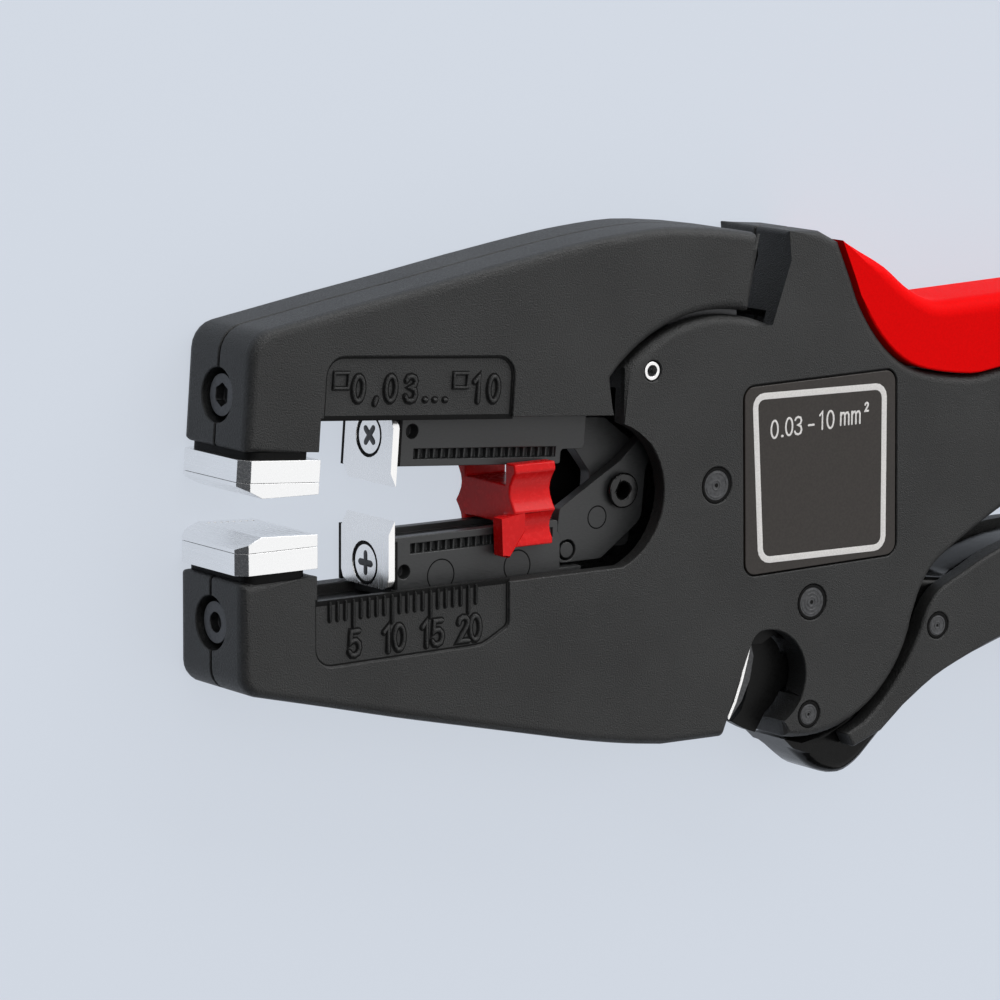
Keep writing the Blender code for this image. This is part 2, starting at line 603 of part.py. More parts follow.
def jaw_end(side, frame, shells, flip):
    """Grip plate, its tang and the front screw of one jaw, mirrored for the upper one."""
    def turned(points):
        return mirrored(points) if flip else points

    def y_of(y):
        return 2 * AXIS_Y - y if flip else y

    lift = 0.45 if flip else 0.0
    profile = turned([
        (PLATE_FRONT, plate_bottom + lift), (JAW_BLOCK_REAR + 0.05, plate_bottom + lift),
        (JAW_BLOCK_REAR + 0.05, plate_top + lift - PLATE_REAR_DROP),
        (PLATE_FRONT + PLATE_BEVEL_LENGTH, plate_top + lift),
        (PLATE_FRONT, plate_top + lift - PLATE_BEVEL_DROP)])
    plate = slab(side + "_grip_plate", profile, 0.0, THICKNESS, frame, ALUMINIUM)
    for name, low, high in (("far", -1.0, PLATE_CHAMFER), ("near", THICKNESS - PLATE_CHAMFER,
                                                          THICKNESS + 1.0)):
        tip = -1.0 if name == "far" else THICKNESS + 1.0
        base = PLATE_CHAMFER if name == "far" else THICKNESS - PLATE_CHAMFER
        corner = [(tip, PLATE_FRONT - 1.0), (base, PLATE_FRONT - 1.0), (base, PLATE_FRONT),
                  (tip, PLATE_FRONT + PLATE_CHAMFER + 1.0)]
        lows = sorted((y_of(0.0), y_of(10.0)))
        cut(plate, slab(f"{side}_plate_chamfer_{name}", corner, lows[0], lows[1], frame, axis="Y"))
    tang = turned([
        (tang_x[0], tang_bottom), (tang_x[1], tang_bottom), (tang_x[1], plate_bottom + lift + 0.6),
        (tang_x[0], plate_bottom + lift + 0.6)])
    cut(plate, slab(side + "_tang", tang, tang_z[0], tang_z[1], frame), mode="UNION")
    centre = (y_of(screw_y), MID)
    shank_bore = slab(side + "_shank_bore", circle(centre, FRONT_SCREW_SHANK + CLEAR, 16),
                      JAW_FRONT - 1.0, screw_end + CLEAR, frame, axis="X")
    head_bore = slab(side + "_head_bore", circle(centre, FRONT_SCREW_RECESS, 32), JAW_FRONT - 1.0,
                     head_back + 0.25, frame, axis="X")
    room = turned([
        (tang_x[0] - CLEAR, tang_bottom - CLEAR), (tang_x[1] + CLEAR, tang_bottom - CLEAR),
        (tang_x[1] + CLEAR, JAW_FACE_STEP + 1.0), (tang_x[0] - CLEAR, JAW_FACE_STEP + 1.0)])
    tang_room = slab(side + "_tang_room", room, tang_z[0] - CLEAR, tang_z[1] + CLEAR, frame)
    cut(plate, shank_bore)
    for shell in shells:
        cut(shell, tang_room, shank_bore, head_bore)
    screw = slab(side + "_front_screw", circle(centre, FRONT_SCREW_RADIUS, 28), head_front, head_back,
                 frame, DARK_STEEL, axis="X")
    cut(screw, slab(side + "_screw_shank", circle(centre, FRONT_SCREW_SHANK, 16), head_back - 0.4,
                    screw_end, frame, axis="X"), mode="UNION")
    socket = circle(centre, 1.3, 6) if flip else circle(centre, 1.1, 16)
    cut(screw, slab(side + "_screw_socket", socket, head_front - 1.0, head_front + 1.1, frame, axis="X"))
    rounded_look(screw)


jaw_end("lower", tool, (near_half, far_half), False)
jaw_end("upper", jaw_frame, (jaw_near, jaw_far), True)


# Blade carriers: a bar with a toothed rack slot on each side and a wire channel along the top
def comb(depth_sign, face):
    """Profile in (z, x) of a rack slot: a shallow slot with deep pockets between the teeth."""
    start = CARRIER_FRONT + 2.6
    deep = face - depth_sign * RACK_DEPTH
    shallow = face - depth_sign * RACK_RIB_DEPTH
    out = face + depth_sign * 1.0
    profile = [(out, start)]
    for k in range(RACK_TEETH):
        x = start + k * RACK_PITCH
        profile += [(deep, x), (deep, x + RACK_PITCH - RACK_RIB), (shallow, x + RACK_PITCH - RACK_RIB),
                    (shallow, x + RACK_PITCH)]
    return [*profile, (out, start + RACK_TEETH * RACK_PITCH)]


def carrier(side, frame, flip):
    """Carrier, blade and blade screw of one jaw."""
    def y_pair(low, high):
        return tuple(sorted((2 * AXIS_Y - low, 2 * AXIS_Y - high))) if flip else (low, high)

    def turned(points):
        return mirrored(points) if flip else points

    body = slab(side + "_carrier", turned([
        (CARRIER_FRONT, CLEAR - GROOVE_DEPTH), (CARRIER_REAR, CLEAR - GROOVE_DEPTH, 0.4),
        (CARRIER_REAR, CARRIER_TOP - 1.6, 0.6), (CARRIER_REAR - 3.2, CARRIER_TOP - 1.6, 0.4),
        (CARRIER_REAR - 3.2, CARRIER_TOP, 0.3), (CARRIER_FRONT, CARRIER_TOP)]),
        carrier_low, carrier_high, frame, GREY)
    low, high = y_pair(RACK_LOW, RACK_HIGH)
    for name, sign, face in (("near", 1, carrier_high), ("far", -1, carrier_low)):
        cut(body, slab(f"{side}_rack_{name}", comb(sign, face), low, high, frame, axis="Y"))
    hole = turned([(CARRIER_FRONT + (2.25 if flip else 1.75), 1.8)])[0]
    cut(body, slab(side + "_hole", circle(hole, MARK_HOLE_RADIUS, 16), carrier_high - MARK_HOLE_DEPTH,
                   carrier_high + 1.0, frame))
    low, high = y_pair(CARRIER_TOP - 0.7, CARRIER_TOP + 1.0)
    cut(body, slab(side + "_channel", [
        (MID - 2.2, CARRIER_FRONT - 1.0), (MID + 2.2, CARRIER_FRONT - 1.0),
        (MID + 2.2, CARRIER_REAR + 1.0), (MID - 2.2, CARRIER_REAR + 1.0)], low, high, frame, axis="Y"))
    screw_at = (y_pair(BLADE_SCREW_Y, BLADE_SCREW_Y)[0], MID)
    cut(body, slab(side + "_blade_screw_bore", circle(screw_at, 1.25 + CLEAR, 16),
                   CARRIER_FRONT - 1.0, CARRIER_FRONT + 4.0, frame, axis="X"))
    blade_back = CARRIER_FRONT - 0.2
    blade_front = blade_back - BLADE_THICKNESS
    blade_low = 0.15
    blade = slab(side + "_blade", turned([
        (blade_front, blade_low), (blade_back, blade_low), (blade_back, BLADE_BACK_EDGE),
        (blade_front, BLADE_FRONT_EDGE)]), MID - BLADE_WIDTH / 2, MID + BLADE_WIDTH / 2, frame, STEEL)
    for sign in (-1, 1):
        edge = MID + sign * BLADE_WIDTH / 2
        corner = [(y, z) for y, z in ((blade_low - 1.0, edge + sign * 1.0),
                                      (blade_low + 1.2, edge + sign * 1.0),
                                      (blade_low + 1.2, edge), (blade_low + 0.35, edge - sign * 0.35),
                                      (blade_low, edge - sign * 1.2),
                                      (blade_low - 1.0, edge - sign * 1.2))]
        corner = [(2 * AXIS_Y - y if flip else y, z) for y, z in corner]
        cut(blade, slab(f"{side}_blade_corner_{sign}", corner, blade_front - 1.0, blade_back + 1.0,
                        frame, axis="X"))
    cut(blade, slab(side + "_blade_seat", circle(screw_at, BLADE_SCREW_RADIUS + CLEAR),
                    blade_front - 1.0, blade_back + 1.0, frame, axis="X"))
    screw = slab(side + "_blade_screw", circle(screw_at, BLADE_SCREW_RADIUS), blade_front + 0.1,
                 blade_back, frame, STEEL, axis="X")
    cut(screw, slab(side + "_blade_shank", circle(screw_at, 1.25, 16), blade_back - 0.3,
                    CARRIER_FRONT + 3.7, frame, axis="X"), mode="UNION")
    rounded_look(screw)
    return body


lower_carrier = carrier("lower", lower_frame, False)
upper_carrier = carrier("upper", upper_frame, True)

# Pull plate: from the lower carrier's boss past the pull pin to the swing arm's pin
pull_pin = (PULL_PIN_X, AXIS_Y)
pull_low = 7.4
pull_high = pull_low + PLATE_THICKNESS
swing_pin = (JAW_PIVOT_X + STROKE_OFFSET, AXIS_Y + SWING_RADIUS)
boss = (CARRIER_REAR - 1.3, 1.9)
boss_radius = 0.9
pull_plate = slab("pull_plate", [
    (PULL_FOOT_X, 0.5, 0.8), (PULL_PIN_X - 2.6, 0.5, 1.0), (PULL_PIN_X + 3.0, AXIS_Y - 3.6, 2.0),
    (PULL_PIN_X + 3.6, AXIS_Y + 2.6, 2.0), (swing_pin[0] + 1.8, swing_pin[1] - 1.8, 1.6),
    (swing_pin[0] + 0.4, swing_pin[1] + 2.2, 1.8), (swing_pin[0] - 2.2, swing_pin[1] + 0.8, 1.2),
    (PULL_PIN_X + 0.2, AXIS_Y + 3.4, 2.0), (PULL_FOOT_X + 0.3, CARRIER_TOP + 1.0, 0.4),
    (PULL_FOOT_X, CARRIER_TOP - 1.0)],
    pull_low, pull_high, lower_frame, GREY)
cut(pull_plate,
    slab("pull_pin_bore", circle(pull_pin, PULL_PIN_RADIUS + CLEAR), pull_low - 1.0, pull_high + 1.0,
         lower_frame),
    slab("boss_bore", circle(boss, boss_radius + CLEAR, 16), pull_low - 1.0, pull_high + 1.0,
         lower_frame))
cut(pull_plate, slab("swing_pin", circle(swing_pin, LINK_PIN_RADIUS, 16), 5.5, pull_low + 0.4,
                     lower_frame), mode="UNION")
plate_step = slab("plate_step", [
    (PULL_FOOT_X - CLEAR, 0.5 - CLEAR), (CARRIER_REAR + 1.0, 0.5 - CLEAR),
    (CARRIER_REAR + 1.0, CARRIER_TOP + 1.0), (PULL_FOOT_X - CLEAR, CARRIER_TOP + 1.0)],
    pull_low - CLEAR, THICKNESS, lower_frame)
cut(lower_carrier, plate_step)
cut(lower_carrier, slab("plate_boss", circle(boss, boss_radius, 16), pull_low - 1.0, pull_high,
                        lower_frame), mode="UNION")

# Hollow pull pin
pin_low = 5.3
hollow_pin = slab("pull_pin", circle(pull_pin, PULL_PIN_RADIUS), pin_low, pull_high + 0.4,
                  lower_frame, DARK_STEEL)
cut(hollow_pin, slab("pull_pin_head", circle(pull_pin, PULL_PIN_HEAD + 0.3), pull_high + CLEAR,
                     pull_high + 0.8, lower_frame), mode="UNION")
cut(hollow_pin, slab("pull_pin_hole", circle(pull_pin, PULL_PIN_RADIUS - 0.5, 16), pin_low - 1.0,
                     pull_high + 2.0, lower_frame))
rounded_look(hollow_pin)

# Upper pull arm: hooks into the upper carrier and runs round the pull pin in a long slot
arm_low = 5.4
arm_high = 7.1
slot_half = PULL_PIN_RADIUS + 0.45
arm_wall = 1.2
slot_low = AXIS_Y - 4.3
slot_high = AXIS_Y + 0.2
arm_right = PULL_PIN_X + slot_half + arm_wall
arm_left = PULL_PIN_X - slot_half - arm_wall
pull_arm = slab("upper_pull_arm", [
    (arm_left, slot_low - slot_half - arm_wall, 1.0), (arm_right, slot_low - slot_half - arm_wall, 1.0),
    (arm_right, slot_high + slot_half + arm_wall + 1.0, 1.5), (PULL_PIN_X - 1.5, ARM_FOOT_HIGH, 1.0),
    (PULL_FOOT_X, ARM_FOOT_HIGH, 0.5), (PULL_FOOT_X, ARM_FOOT_LOW, 0.5),
    (PULL_PIN_X - 5.5, ARM_FOOT_LOW - 0.4, 1.0),
    (arm_left, AXIS_Y + 1.0, 1.0)], arm_low, arm_high, upper_frame, GREY)
cut(pull_arm, slab("arm_slot", [
    (PULL_PIN_X - slot_half, slot_low - slot_half, slot_half - 0.02),
    (PULL_PIN_X + slot_half, slot_low - slot_half, slot_half - 0.02),
    (PULL_PIN_X + slot_half, slot_high + slot_half, slot_half - 0.02),
    (PULL_PIN_X - slot_half, slot_high + slot_half, slot_half - 0.02)],
    arm_low - 1.0, arm_high + 1.0, upper_frame))
cut(upper_carrier, slab("arm_room", [
    (PULL_FOOT_X - CLEAR, ARM_FOOT_LOW - CLEAR), (CARRIER_REAR + 1.0, ARM_FOOT_LOW - CLEAR - 0.6),
    (CARRIER_REAR + 1.0, ARM_FOOT_HIGH + CLEAR), (PULL_FOOT_X - CLEAR, ARM_FOOT_HIGH + CLEAR)],
    arm_low - CLEAR, arm_high + CLEAR, upper_frame))

# Swing arm on the jaw pivot, with one slot for the pull plate and one pin for the lever arm
axis_angle = degrees(atan2(LEVER_PIVOT[1] - AXIS_Y, LEVER_PIVOT[0] - JAW_PIVOT_X))
axis_distance = hypot(LEVER_PIVOT[0] - JAW_PIVOT_X, LEVER_PIVOT[1] - AXIS_Y)
swing_rest = SWING_HALF * STROKE_OFFSET / ((STROKE_FORWARD + STROKE_BACK) / 2)
crank_radius = axis_distance / (1 + SWING_PER_LEVER)
crank_angle = axis_angle - swing_rest
crank_pin = polar(JAW_PIVOT, crank_radius, crank_angle)
swing_angle = 90.0 - degrees(atan(STROKE_OFFSET / SWING_RADIUS))
swing_reach = hypot(SWING_RADIUS, (STROKE_FORWARD + STROKE_BACK) / 2)
slot_width = LINK_PIN_RADIUS + 0.6


def bar(centre, angle, start, end, half_width, step=20.0):
    """Round-ended bar along a ray from a centre."""
    tip = polar(centre, end, angle)
    foot = polar(centre, start, angle)
    return (arc(tip, half_width, angle - 90, angle + 90, step)
            + arc(foot, half_width, angle + 90, angle + 270, step))


swing_low = arm_low
swing_high = arm_high
swing_arm = slab("swing_arm", circle(JAW_PIVOT, 3.3), swing_low, swing_high, swing_frame, STEEL)
cut(swing_arm,
    slab("swing_upper", bar(JAW_PIVOT, swing_angle, 0.5, swing_reach - 0.1, slot_width + 1.2),
         swing_low, swing_high, swing_frame),
    slab("swing_lower", bar(JAW_PIVOT, crank_angle, 0.4, crank_radius, 2.2), swing_low, swing_high,
         swing_frame),
    slab("crank_pin", circle(crank_pin, LINK_PIN_RADIUS, 16), 3.9, swing_low + 0.5, swing_frame),
    mode="UNION")
cut(swing_arm,
    slab("swing_slot", bar(JAW_PIVOT, swing_angle, SWING_RADIUS - 0.3, swing_reach, slot_width),
         swing_low - 1.0, swing_high + 1.0, swing_frame),
    slab("swing_bore", circle(JAW_PIVOT, BORE), 0.0, THICKNESS, swing_frame))

# Lever: core between the skins, arm, cutter blade and cheeks
core_low = 2.6
core_high = THICKNESS - core_low
core_hub = 3.6
core_outline = [
    *arc(LEVER_PIVOT, core_hub, 60.0, 290.0, 12.0),
    polar(LEVER_PIVOT, LEVER_HUB_ARC + LEVER_GAP, -55.0),
    *arc(LEVER_PIVOT, LEVER_HUB_ARC + LEVER_GAP, -60.0, -96.0),
    *reversed(smooth(CORE_BOTTOM)),
    *smooth(LEVER_INLAY_LINE),
    (*LEVER_END, 3.0),
    *smooth(shifted(LEVER_TOP[:5:-1], CORE_DROP)),
    (82.6, -5.4, 1.0),
    (74.0, -4.0, 1.0),
]


def core_crisp(x, y):
    """True round the hub of the lever core and at its thin toe under the hub of the housing."""
    return hypot(x - LEVER_PIVOT[0], y - LEVER_PIVOT[1]) < 14.0 or x < CORE_BOTTOM[-1][0] + 0.1


core = slab("lever_core", core_outline, core_low, core_high, lever_frame, GLOSS, soft_low=CORE_ROUND,
            soft_high=CORE_ROUND, crisp=core_crisp)
lever_bore = slab("lever_bore", circle(LEVER_PIVOT, BORE), -1.0, THICKNESS + 1.0, lever_frame)
lever_arm_low = 3.95
lever_arm_high = 5.15
cut(core, lever_bore,
    slab("core_arm_room", circle(LEVER_PIVOT, HUB_ROOM), 0.0, lever_arm_high + CLEAR, lever_frame),
    slab("core_blade_room", circle(LEVER_PIVOT, HUB_ROOM), CUTTER_LOW - CLEAR, THICKNESS, lever_frame))
lever_arm_angle = degrees(atan2(crank_pin[1] - LEVER_PIVOT[1], crank_pin[0] - LEVER_PIVOT[0]))
lever_reach = axis_distance - crank_radius
lever_arm = slab("lever_arm", circle(LEVER_PIVOT, 3.6), lever_arm_low, lever_arm_high, lever_frame,
                 STEEL)
cut(lever_arm, slab("lever_arm_bar", bar(LEVER_PIVOT, lever_arm_angle, 0.5, lever_reach + 1.2,
                                         slot_width + 1.1), lever_arm_low, lever_arm_high, lever_frame),
    mode="UNION")
cut(lever_arm, lever_bore, slab("lever_arm_slot", bar(
    LEVER_PIVOT, lever_arm_angle, lever_reach - 0.4, lever_reach + 1.2, slot_width), 0.0, THICKNESS,
    lever_frame))

# Wire cutter: moving blade under the near skin and fixed blade on the notch's right wall
cutter = slab("moving_cutter_blade", [
    *arc(LEVER_PIVOT, 3.6, -125.0, 160.0, 15.0),
    polar(LEVER_PIVOT, 9.0, -174.0),
    (*polar(LEVER_PIVOT, CUTTER_REACH - 1.2, -146.0), 1.0),
    *reversed(CUTTER_EDGE),
    polar(LEVER_PIVOT, 7.2, -140.0)], CUTTER_LOW, CUTTER_HIGH, lever_frame, STEEL)
cut(cutter, lever_bore)
anvil_outline = [
    *ANVIL_EDGE,
    *arc(LEVER_PIVOT, LEVER_HUB_ARC + LEVER_GAP / 2, -123.0, -109.0, 4.0),
    *arc(NOTCH_CENTRE, NOTCH_RADIUS - 0.4, -60.0, -24.0),
    *arc(NOTCH_CENTRE, NOTCH_RADIUS + 0.5, -18.0, 12.0),
    *arc(NOTCH_CENTRE, NOTCH_RADIUS - 0.4, 20.0, 78.0),
    *arc(NOTCH_CENTRE, NOTCH_RADIUS + 0.5, 84.0, 98.0)]
anvil_high = CUTTER_LOW - CLEAR
anvil_low = anvil_high - ANVIL_THICKNESS
slab("fixed_cutter_blade", anvil_outline, anvil_low, anvil_high, tool, DARK_STEEL)
cut(near_half, slab("anvil_room", anvil_outline, anvil_low - CLEAR, anvil_high + CLEAR, tool, grow=CLEAR))

# Lever cheeks, flush with the housing's side faces
cheek_outline = [
    CHEEK_TIP[0],
    *smooth(LEVER_TOP),
    (*LEVER_END, 3.0),
    *reversed(smooth(LEVER_INLAY_LINE[1:])),
    *smooth(CHEEK_BOTTOM),
    CHEEK_TIP[2],
    CHEEK_TIP[1],
]
cheek_near = slab("lever_cheek_near", cheek_outline, THICKNESS - CHEEK_THICKNESS, THICKNESS,
                  lever_frame, BLACK, soft_high=0.45)
cheek_far = slab("lever_cheek_far", cheek_outline, 0.0, CHEEK_THICKNESS, lever_frame, BLACK,
                 soft_low=0.45)
for number, place in enumerate((CHEEK_PIN, *LEVER_RIVETS)):
    bore = slab(f"lever_rivet_bore_{number}", circle(place, RIVET_RADIUS + CLEAR), -1.0,
                THICKNESS + 1.0, lever_frame)
    for piece in (core, cheek_near, cheek_far):
        cut(piece, bore)
    rounded_look(slab(f"lever_rivet_{number + 1}", circle(place, RIVET_RADIUS), PIN_RECESS,
                      THICKNESS - PIN_RECESS, lever_frame, DARK_STEEL))

# Soft inlays of both handles
inlay_line = shifted(smooth(INLAY_LINE), -CLEAR)
slab("handle_inlay", [
    *reversed(inlay_line), (*INLAY_END, 5.0), *smooth(HANDLE_TOP[:-1])], 0.0, THICKNESS, tool, RED,
    soft_low=GRIP_ROUND, soft_high=GRIP_ROUND,
    crisp=lambda x, y: min(hypot(x - p[0], y - p[1]) for p in inlay_line) < 0.01)
lever_line = shifted(smooth(LEVER_INLAY_LINE), -CLEAR)
slab("lever_inlay", [
    *lever_line, (*LEVER_INLAY_END, 2.8), *smooth(LEVER_INLAY_BOTTOM)], 0.0, THICKNESS, lever_frame, RED,
    soft_low=GRIP_ROUND, soft_high=GRIP_ROUND,
    crisp=lambda x, y: min(hypot(x - p[0], y - p[1]) for p in lever_line) < 0.01)

# Length stop: finger grips on both sides, bridged over the lower carrier, with a pointer
near_face = THICKNESS - 0.6
grip_inner = carrier_high + CLEAR
scoop = 1.1


def scooped(face, sign):
    """Side profile of one finger grip in (y, z): two hollows with a ridge between them."""
    low, ridge, high = STOP_BOTTOM, 7.3, STOP_TOP - 0.9
    run = [(low, face - sign * 0.5)]
    for start, end in ((low, ridge), (ridge, high)):
        run += [(start + (end - start) * t, face - sign * scoop * sin(pi * t)) for t in
                (0.15, 0.35, 0.5, 0.65, 0.85)]
        run.append((end, face))
    return [*run, (STOP_TOP, face - sign * 0.2)]


bridge = (CARRIER_TOP + CLEAR, 2 * AXIS_Y - CARRIER_TOP - 0.2)
stop = slab("length_stop", [
    *reversed(scooped(near_face, 1)), (STOP_BOTTOM, grip_inner), (RACK_LOW + 0.3, grip_inner),
    (RACK_LOW + 0.3, carrier_high - 0.1), (RACK_HIGH - 0.3, carrier_high - 0.1),
    (RACK_HIGH - 0.3, grip_inner), (bridge[0], grip_inner), (bridge[0], THICKNESS - grip_inner),
    (STOP_BOTTOM, THICKNESS - grip_inner), *scooped(THICKNESS - near_face, -1),
    (STOP_TOP, THICKNESS - grip_inner), (bridge[1], THICKNESS - grip_inner), (bridge[1], grip_inner),
    (STOP_TOP, grip_inner)], STOP_FACE, STOP_FACE + STOP_LENGTH, stop_frame, STOP_RED, axis="X")
cut(stop, slab("stop_pointer", [
    (STOP_FACE - 1.7, 6.8), (STOP_FACE - 1.5, 2.6, 0.2), (STOP_FACE - 0.6, 2.4, 0.2),
    (STOP_FACE + 1.4, 5.0), (STOP_FACE + 1.4, 7.2)], grip_inner, near_face - 0.1, stop_frame),
    mode="UNION")


# Springs: a torsion coil about the jaw pivot and a compression coil between housing and lever
def wire(name, points, radius, frame):
    """Round wire along a run of points given in millimetres."""
    path = bpy.data.curves.new(name, "CURVE")
    path.dimensions = "3D"
    path.bevel_depth = radius * MM
    path.bevel_resolution = 1
    path.use_fill_caps = True
    run = path.splines.new("POLY")
    run.points.add(len(points) - 1)
    origin = frame["origin"]
    for spot, (x, y, z) in zip(run.points, points):
        spot.co = ((x - origin[0]) * MM, (y - origin[1]) * MM, z * MM, 1.0)
    path.materials.append(STEEL)
    made = bpy.data.objects.new(name, path)
    bpy.context.collection.objects.link(made)
    made.parent = frame
    return made


coil_radius = 2.65
coil_wire = 0.25
coil_low = 7.65
coil_turns = 1.6
coil_pitch = 0.6
coil_start = -130.0
coil = []
for k in range(30):
    angle = coil_start + 360.0 * coil_turns * k / 29
    coil.append((*polar(JAW_PIVOT, coil_radius, angle), coil_low + coil_pitch * coil_turns * k / 29))
coil_end = coil_start + 360.0 * coil_turns
leg_out = (*polar(JAW_PIVOT, 11.5, coil_start + 70.0), coil_low)
leg_in = (*polar(JAW_PIVOT, 5.8, coil_end - 60.0), coil[-1][2])
wire("jaw_spring", [leg_out, *coil, leg_in], coil_wire, tool)

spring_x = LEVER_PIVOT[0] + 10.2
spring_foot = -3.9
spring_top = SPRING_SEAT - CLEAR - 0.35
spring_turns = 5
helix = []
for k in range(spring_turns * 12 + 1):
    angle = radians(30.0 * k)
    level = spring_foot + (spring_top - spring_foot) * k / (spring_turns * 12)
    helix.append((spring_x + 1.7 * cos(angle), level, MID + 1.7 * sin(angle)))
wire("lever_spring", helix, 0.3, tool)
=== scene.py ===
"""Looks of the automatic wire stripper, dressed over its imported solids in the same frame."""

import json
from math import radians, sin, tan

import bmesh
import bpy
import numpy as np
from mathutils import Matrix, Vector
from mathutils.kdtree import KDTree

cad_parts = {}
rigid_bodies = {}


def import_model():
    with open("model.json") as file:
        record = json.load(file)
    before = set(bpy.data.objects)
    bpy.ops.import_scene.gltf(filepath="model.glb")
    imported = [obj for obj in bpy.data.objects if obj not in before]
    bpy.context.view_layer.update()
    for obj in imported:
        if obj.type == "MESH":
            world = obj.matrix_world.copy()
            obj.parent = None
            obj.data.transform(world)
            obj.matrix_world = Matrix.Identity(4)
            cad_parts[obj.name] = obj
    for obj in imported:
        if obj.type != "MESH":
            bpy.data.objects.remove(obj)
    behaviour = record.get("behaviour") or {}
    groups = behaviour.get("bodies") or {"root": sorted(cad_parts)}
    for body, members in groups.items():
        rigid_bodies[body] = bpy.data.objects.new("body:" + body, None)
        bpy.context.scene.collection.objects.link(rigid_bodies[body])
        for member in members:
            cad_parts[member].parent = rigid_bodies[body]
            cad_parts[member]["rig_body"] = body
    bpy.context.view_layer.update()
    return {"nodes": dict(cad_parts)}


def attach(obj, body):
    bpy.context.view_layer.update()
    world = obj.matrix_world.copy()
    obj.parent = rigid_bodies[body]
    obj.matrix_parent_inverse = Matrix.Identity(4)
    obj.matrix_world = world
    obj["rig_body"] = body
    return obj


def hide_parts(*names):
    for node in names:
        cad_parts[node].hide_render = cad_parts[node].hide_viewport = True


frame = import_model()
MM = 0.001

# View: a long lens looks down on the near side face from the mouth's end, as a hand tool is
# photographed. The tool lies on a pale floor that fills the picture.
VIEW_FROM = (-0.356938, 0.088300, 0.445547)
VIEW_RIGHT = Vector((0.81180, 0.00547, 0.58391)).normalized()
VIEW_AHEAD = Vector((0.57694, -0.16180, -0.80060)).normalized()
LENS_MM = 180.0
SENSOR_MM = 36.0
CLIP_RANGE = (0.02, 20.0)

lens = bpy.data.cameras.new("camera")
lens.lens = LENS_MM
lens.sensor_width = SENSOR_MM
lens.clip_start, lens.clip_end = CLIP_RANGE
camera = bpy.data.objects.new("camera", lens)
bpy.context.scene.collection.objects.link(camera)
view_up = VIEW_RIGHT.cross(VIEW_AHEAD)
camera.matrix_world = (Matrix.Translation(VIEW_FROM)
                       @ Matrix((VIEW_RIGHT, view_up, -VIEW_AHEAD)).transposed().to_4x4())
bpy.context.scene.camera = camera
bpy.context.scene.view_settings.view_transform = "Standard"


class Signal:
    """What comes out of a shader node; arithmetic on it adds Math nodes."""

    def __init__(self, socket):
        self.socket = socket

    def node(self, kind, settings=None, inputs=None, output=0):
        """Any other node: its type, then its settings, then the values or links of its sockets."""
        tree = self.socket.id_data
        made = tree.nodes.new("ShaderNode" + kind)
        for name, value in (settings or {}).items():
            setattr(made, name, value)
        for name, value in (inputs or {}).items():
            if isinstance(value, Signal):
                tree.links.new(value.socket, made.inputs[name])
            else:
                made.inputs[name].default_value = value
        return Signal(made.outputs[output])

    def math(self, operation, *values):
        """Math node on this signal and any further values."""
        return self.node("Math", {"operation": operation}, dict(enumerate((self, *values))))

    def __add__(self, other):
        return self.math("ADD", other)

    __radd__ = __add__

    def __mul__(self, other):
        return self.math("MULTIPLY", other)

    __rmul__ = __mul__

    def between(self, low, high, to_low=0.0, to_high=1.0):
        """Smooth step from one value to another as this signal goes from low to high."""
        return self.node("MapRange", {"interpolation_type": "SMOOTHSTEP"}, {
            "Value": self, "From Min": low, "From Max": high, "To Min": to_low, "To Max": to_high})

    def blend(self, first, second):
        """Colour that goes from the first to the second as this signal goes from 0 to 1."""
        return self.node("Mix", {"data_type": "RGBA"}, {0: self, 6: first, 7: second}, 2)

    def noise(self, scale, detail=2.0, roughness=0.5):
        """Fractal noise over this vector, with features of 1 / scale metres."""
        return self.node("TexNoise", None, {
            "Vector": self, "Scale": scale, "Detail": detail, "Roughness": roughness})

    def stretched(self, x, y, z):
        """This vector scaled along each axis."""
        return self.node("Mapping", None, {"Vector": self, "Scale": (x, y, z)})


# Floor: a plain pale table top. The camera and polished metal see it a little brighter than the
# lamps make it, and it keeps a soft shadow.
FLOOR_COLOUR = (0.640, 0.685, 0.765, 1.0)
FLOOR_GLOW = 0.8
GLOW_COLOUR = (0.682, 0.733, 0.812, 1.0)
FLOOR_SIZE = 6.0
FLOOR_LEVEL = -0.0001

table_mesh = bpy.data.meshes.new("floor")
half = FLOOR_SIZE / 2
table_mesh.from_pydata([(x * half, y * half, FLOOR_LEVEL)
                        for x, y in ((-1, -1), (1, -1), (1, 1), (-1, 1))], [], [(0, 1, 2, 3)])
floor = bpy.data.objects.new("floor", table_mesh)
bpy.context.scene.collection.objects.link(floor)
paper = bpy.data.materials.new("pale_floor")
paper.use_nodes = True
tree = paper.node_tree
paper_shader = tree.nodes["Principled BSDF"]
paper_shader.inputs["Base Color"].default_value = FLOOR_COLOUR
paper_shader.inputs["Roughness"].default_value = 0.9
paper_shader.inputs["Specular IOR Level"].default_value = 0.0
path = tree.nodes.new("ShaderNodeLightPath")
seen = Signal(path.outputs["Is Camera Ray"]) + Signal(path.outputs["Is Glossy Ray"])
seen = (seen + Signal(path.outputs["Is Transmission Ray"])).math("MINIMUM", 1.0)
glow = tree.nodes.new("ShaderNodeEmission")
glow.inputs["Color"].default_value = GLOW_COLOUR
mixed = tree.nodes.new("ShaderNodeMixShader")
tree.links.new((seen * FLOOR_GLOW).socket, mixed.inputs[0])
tree.links.new(paper_shader.outputs[0], mixed.inputs[1])
tree.links.new(glow.outputs[0], mixed.inputs[2])
tree.links.new(mixed.outputs[0], tree.nodes["Material Output"].inputs[0])
table_mesh.materials.append(paper)

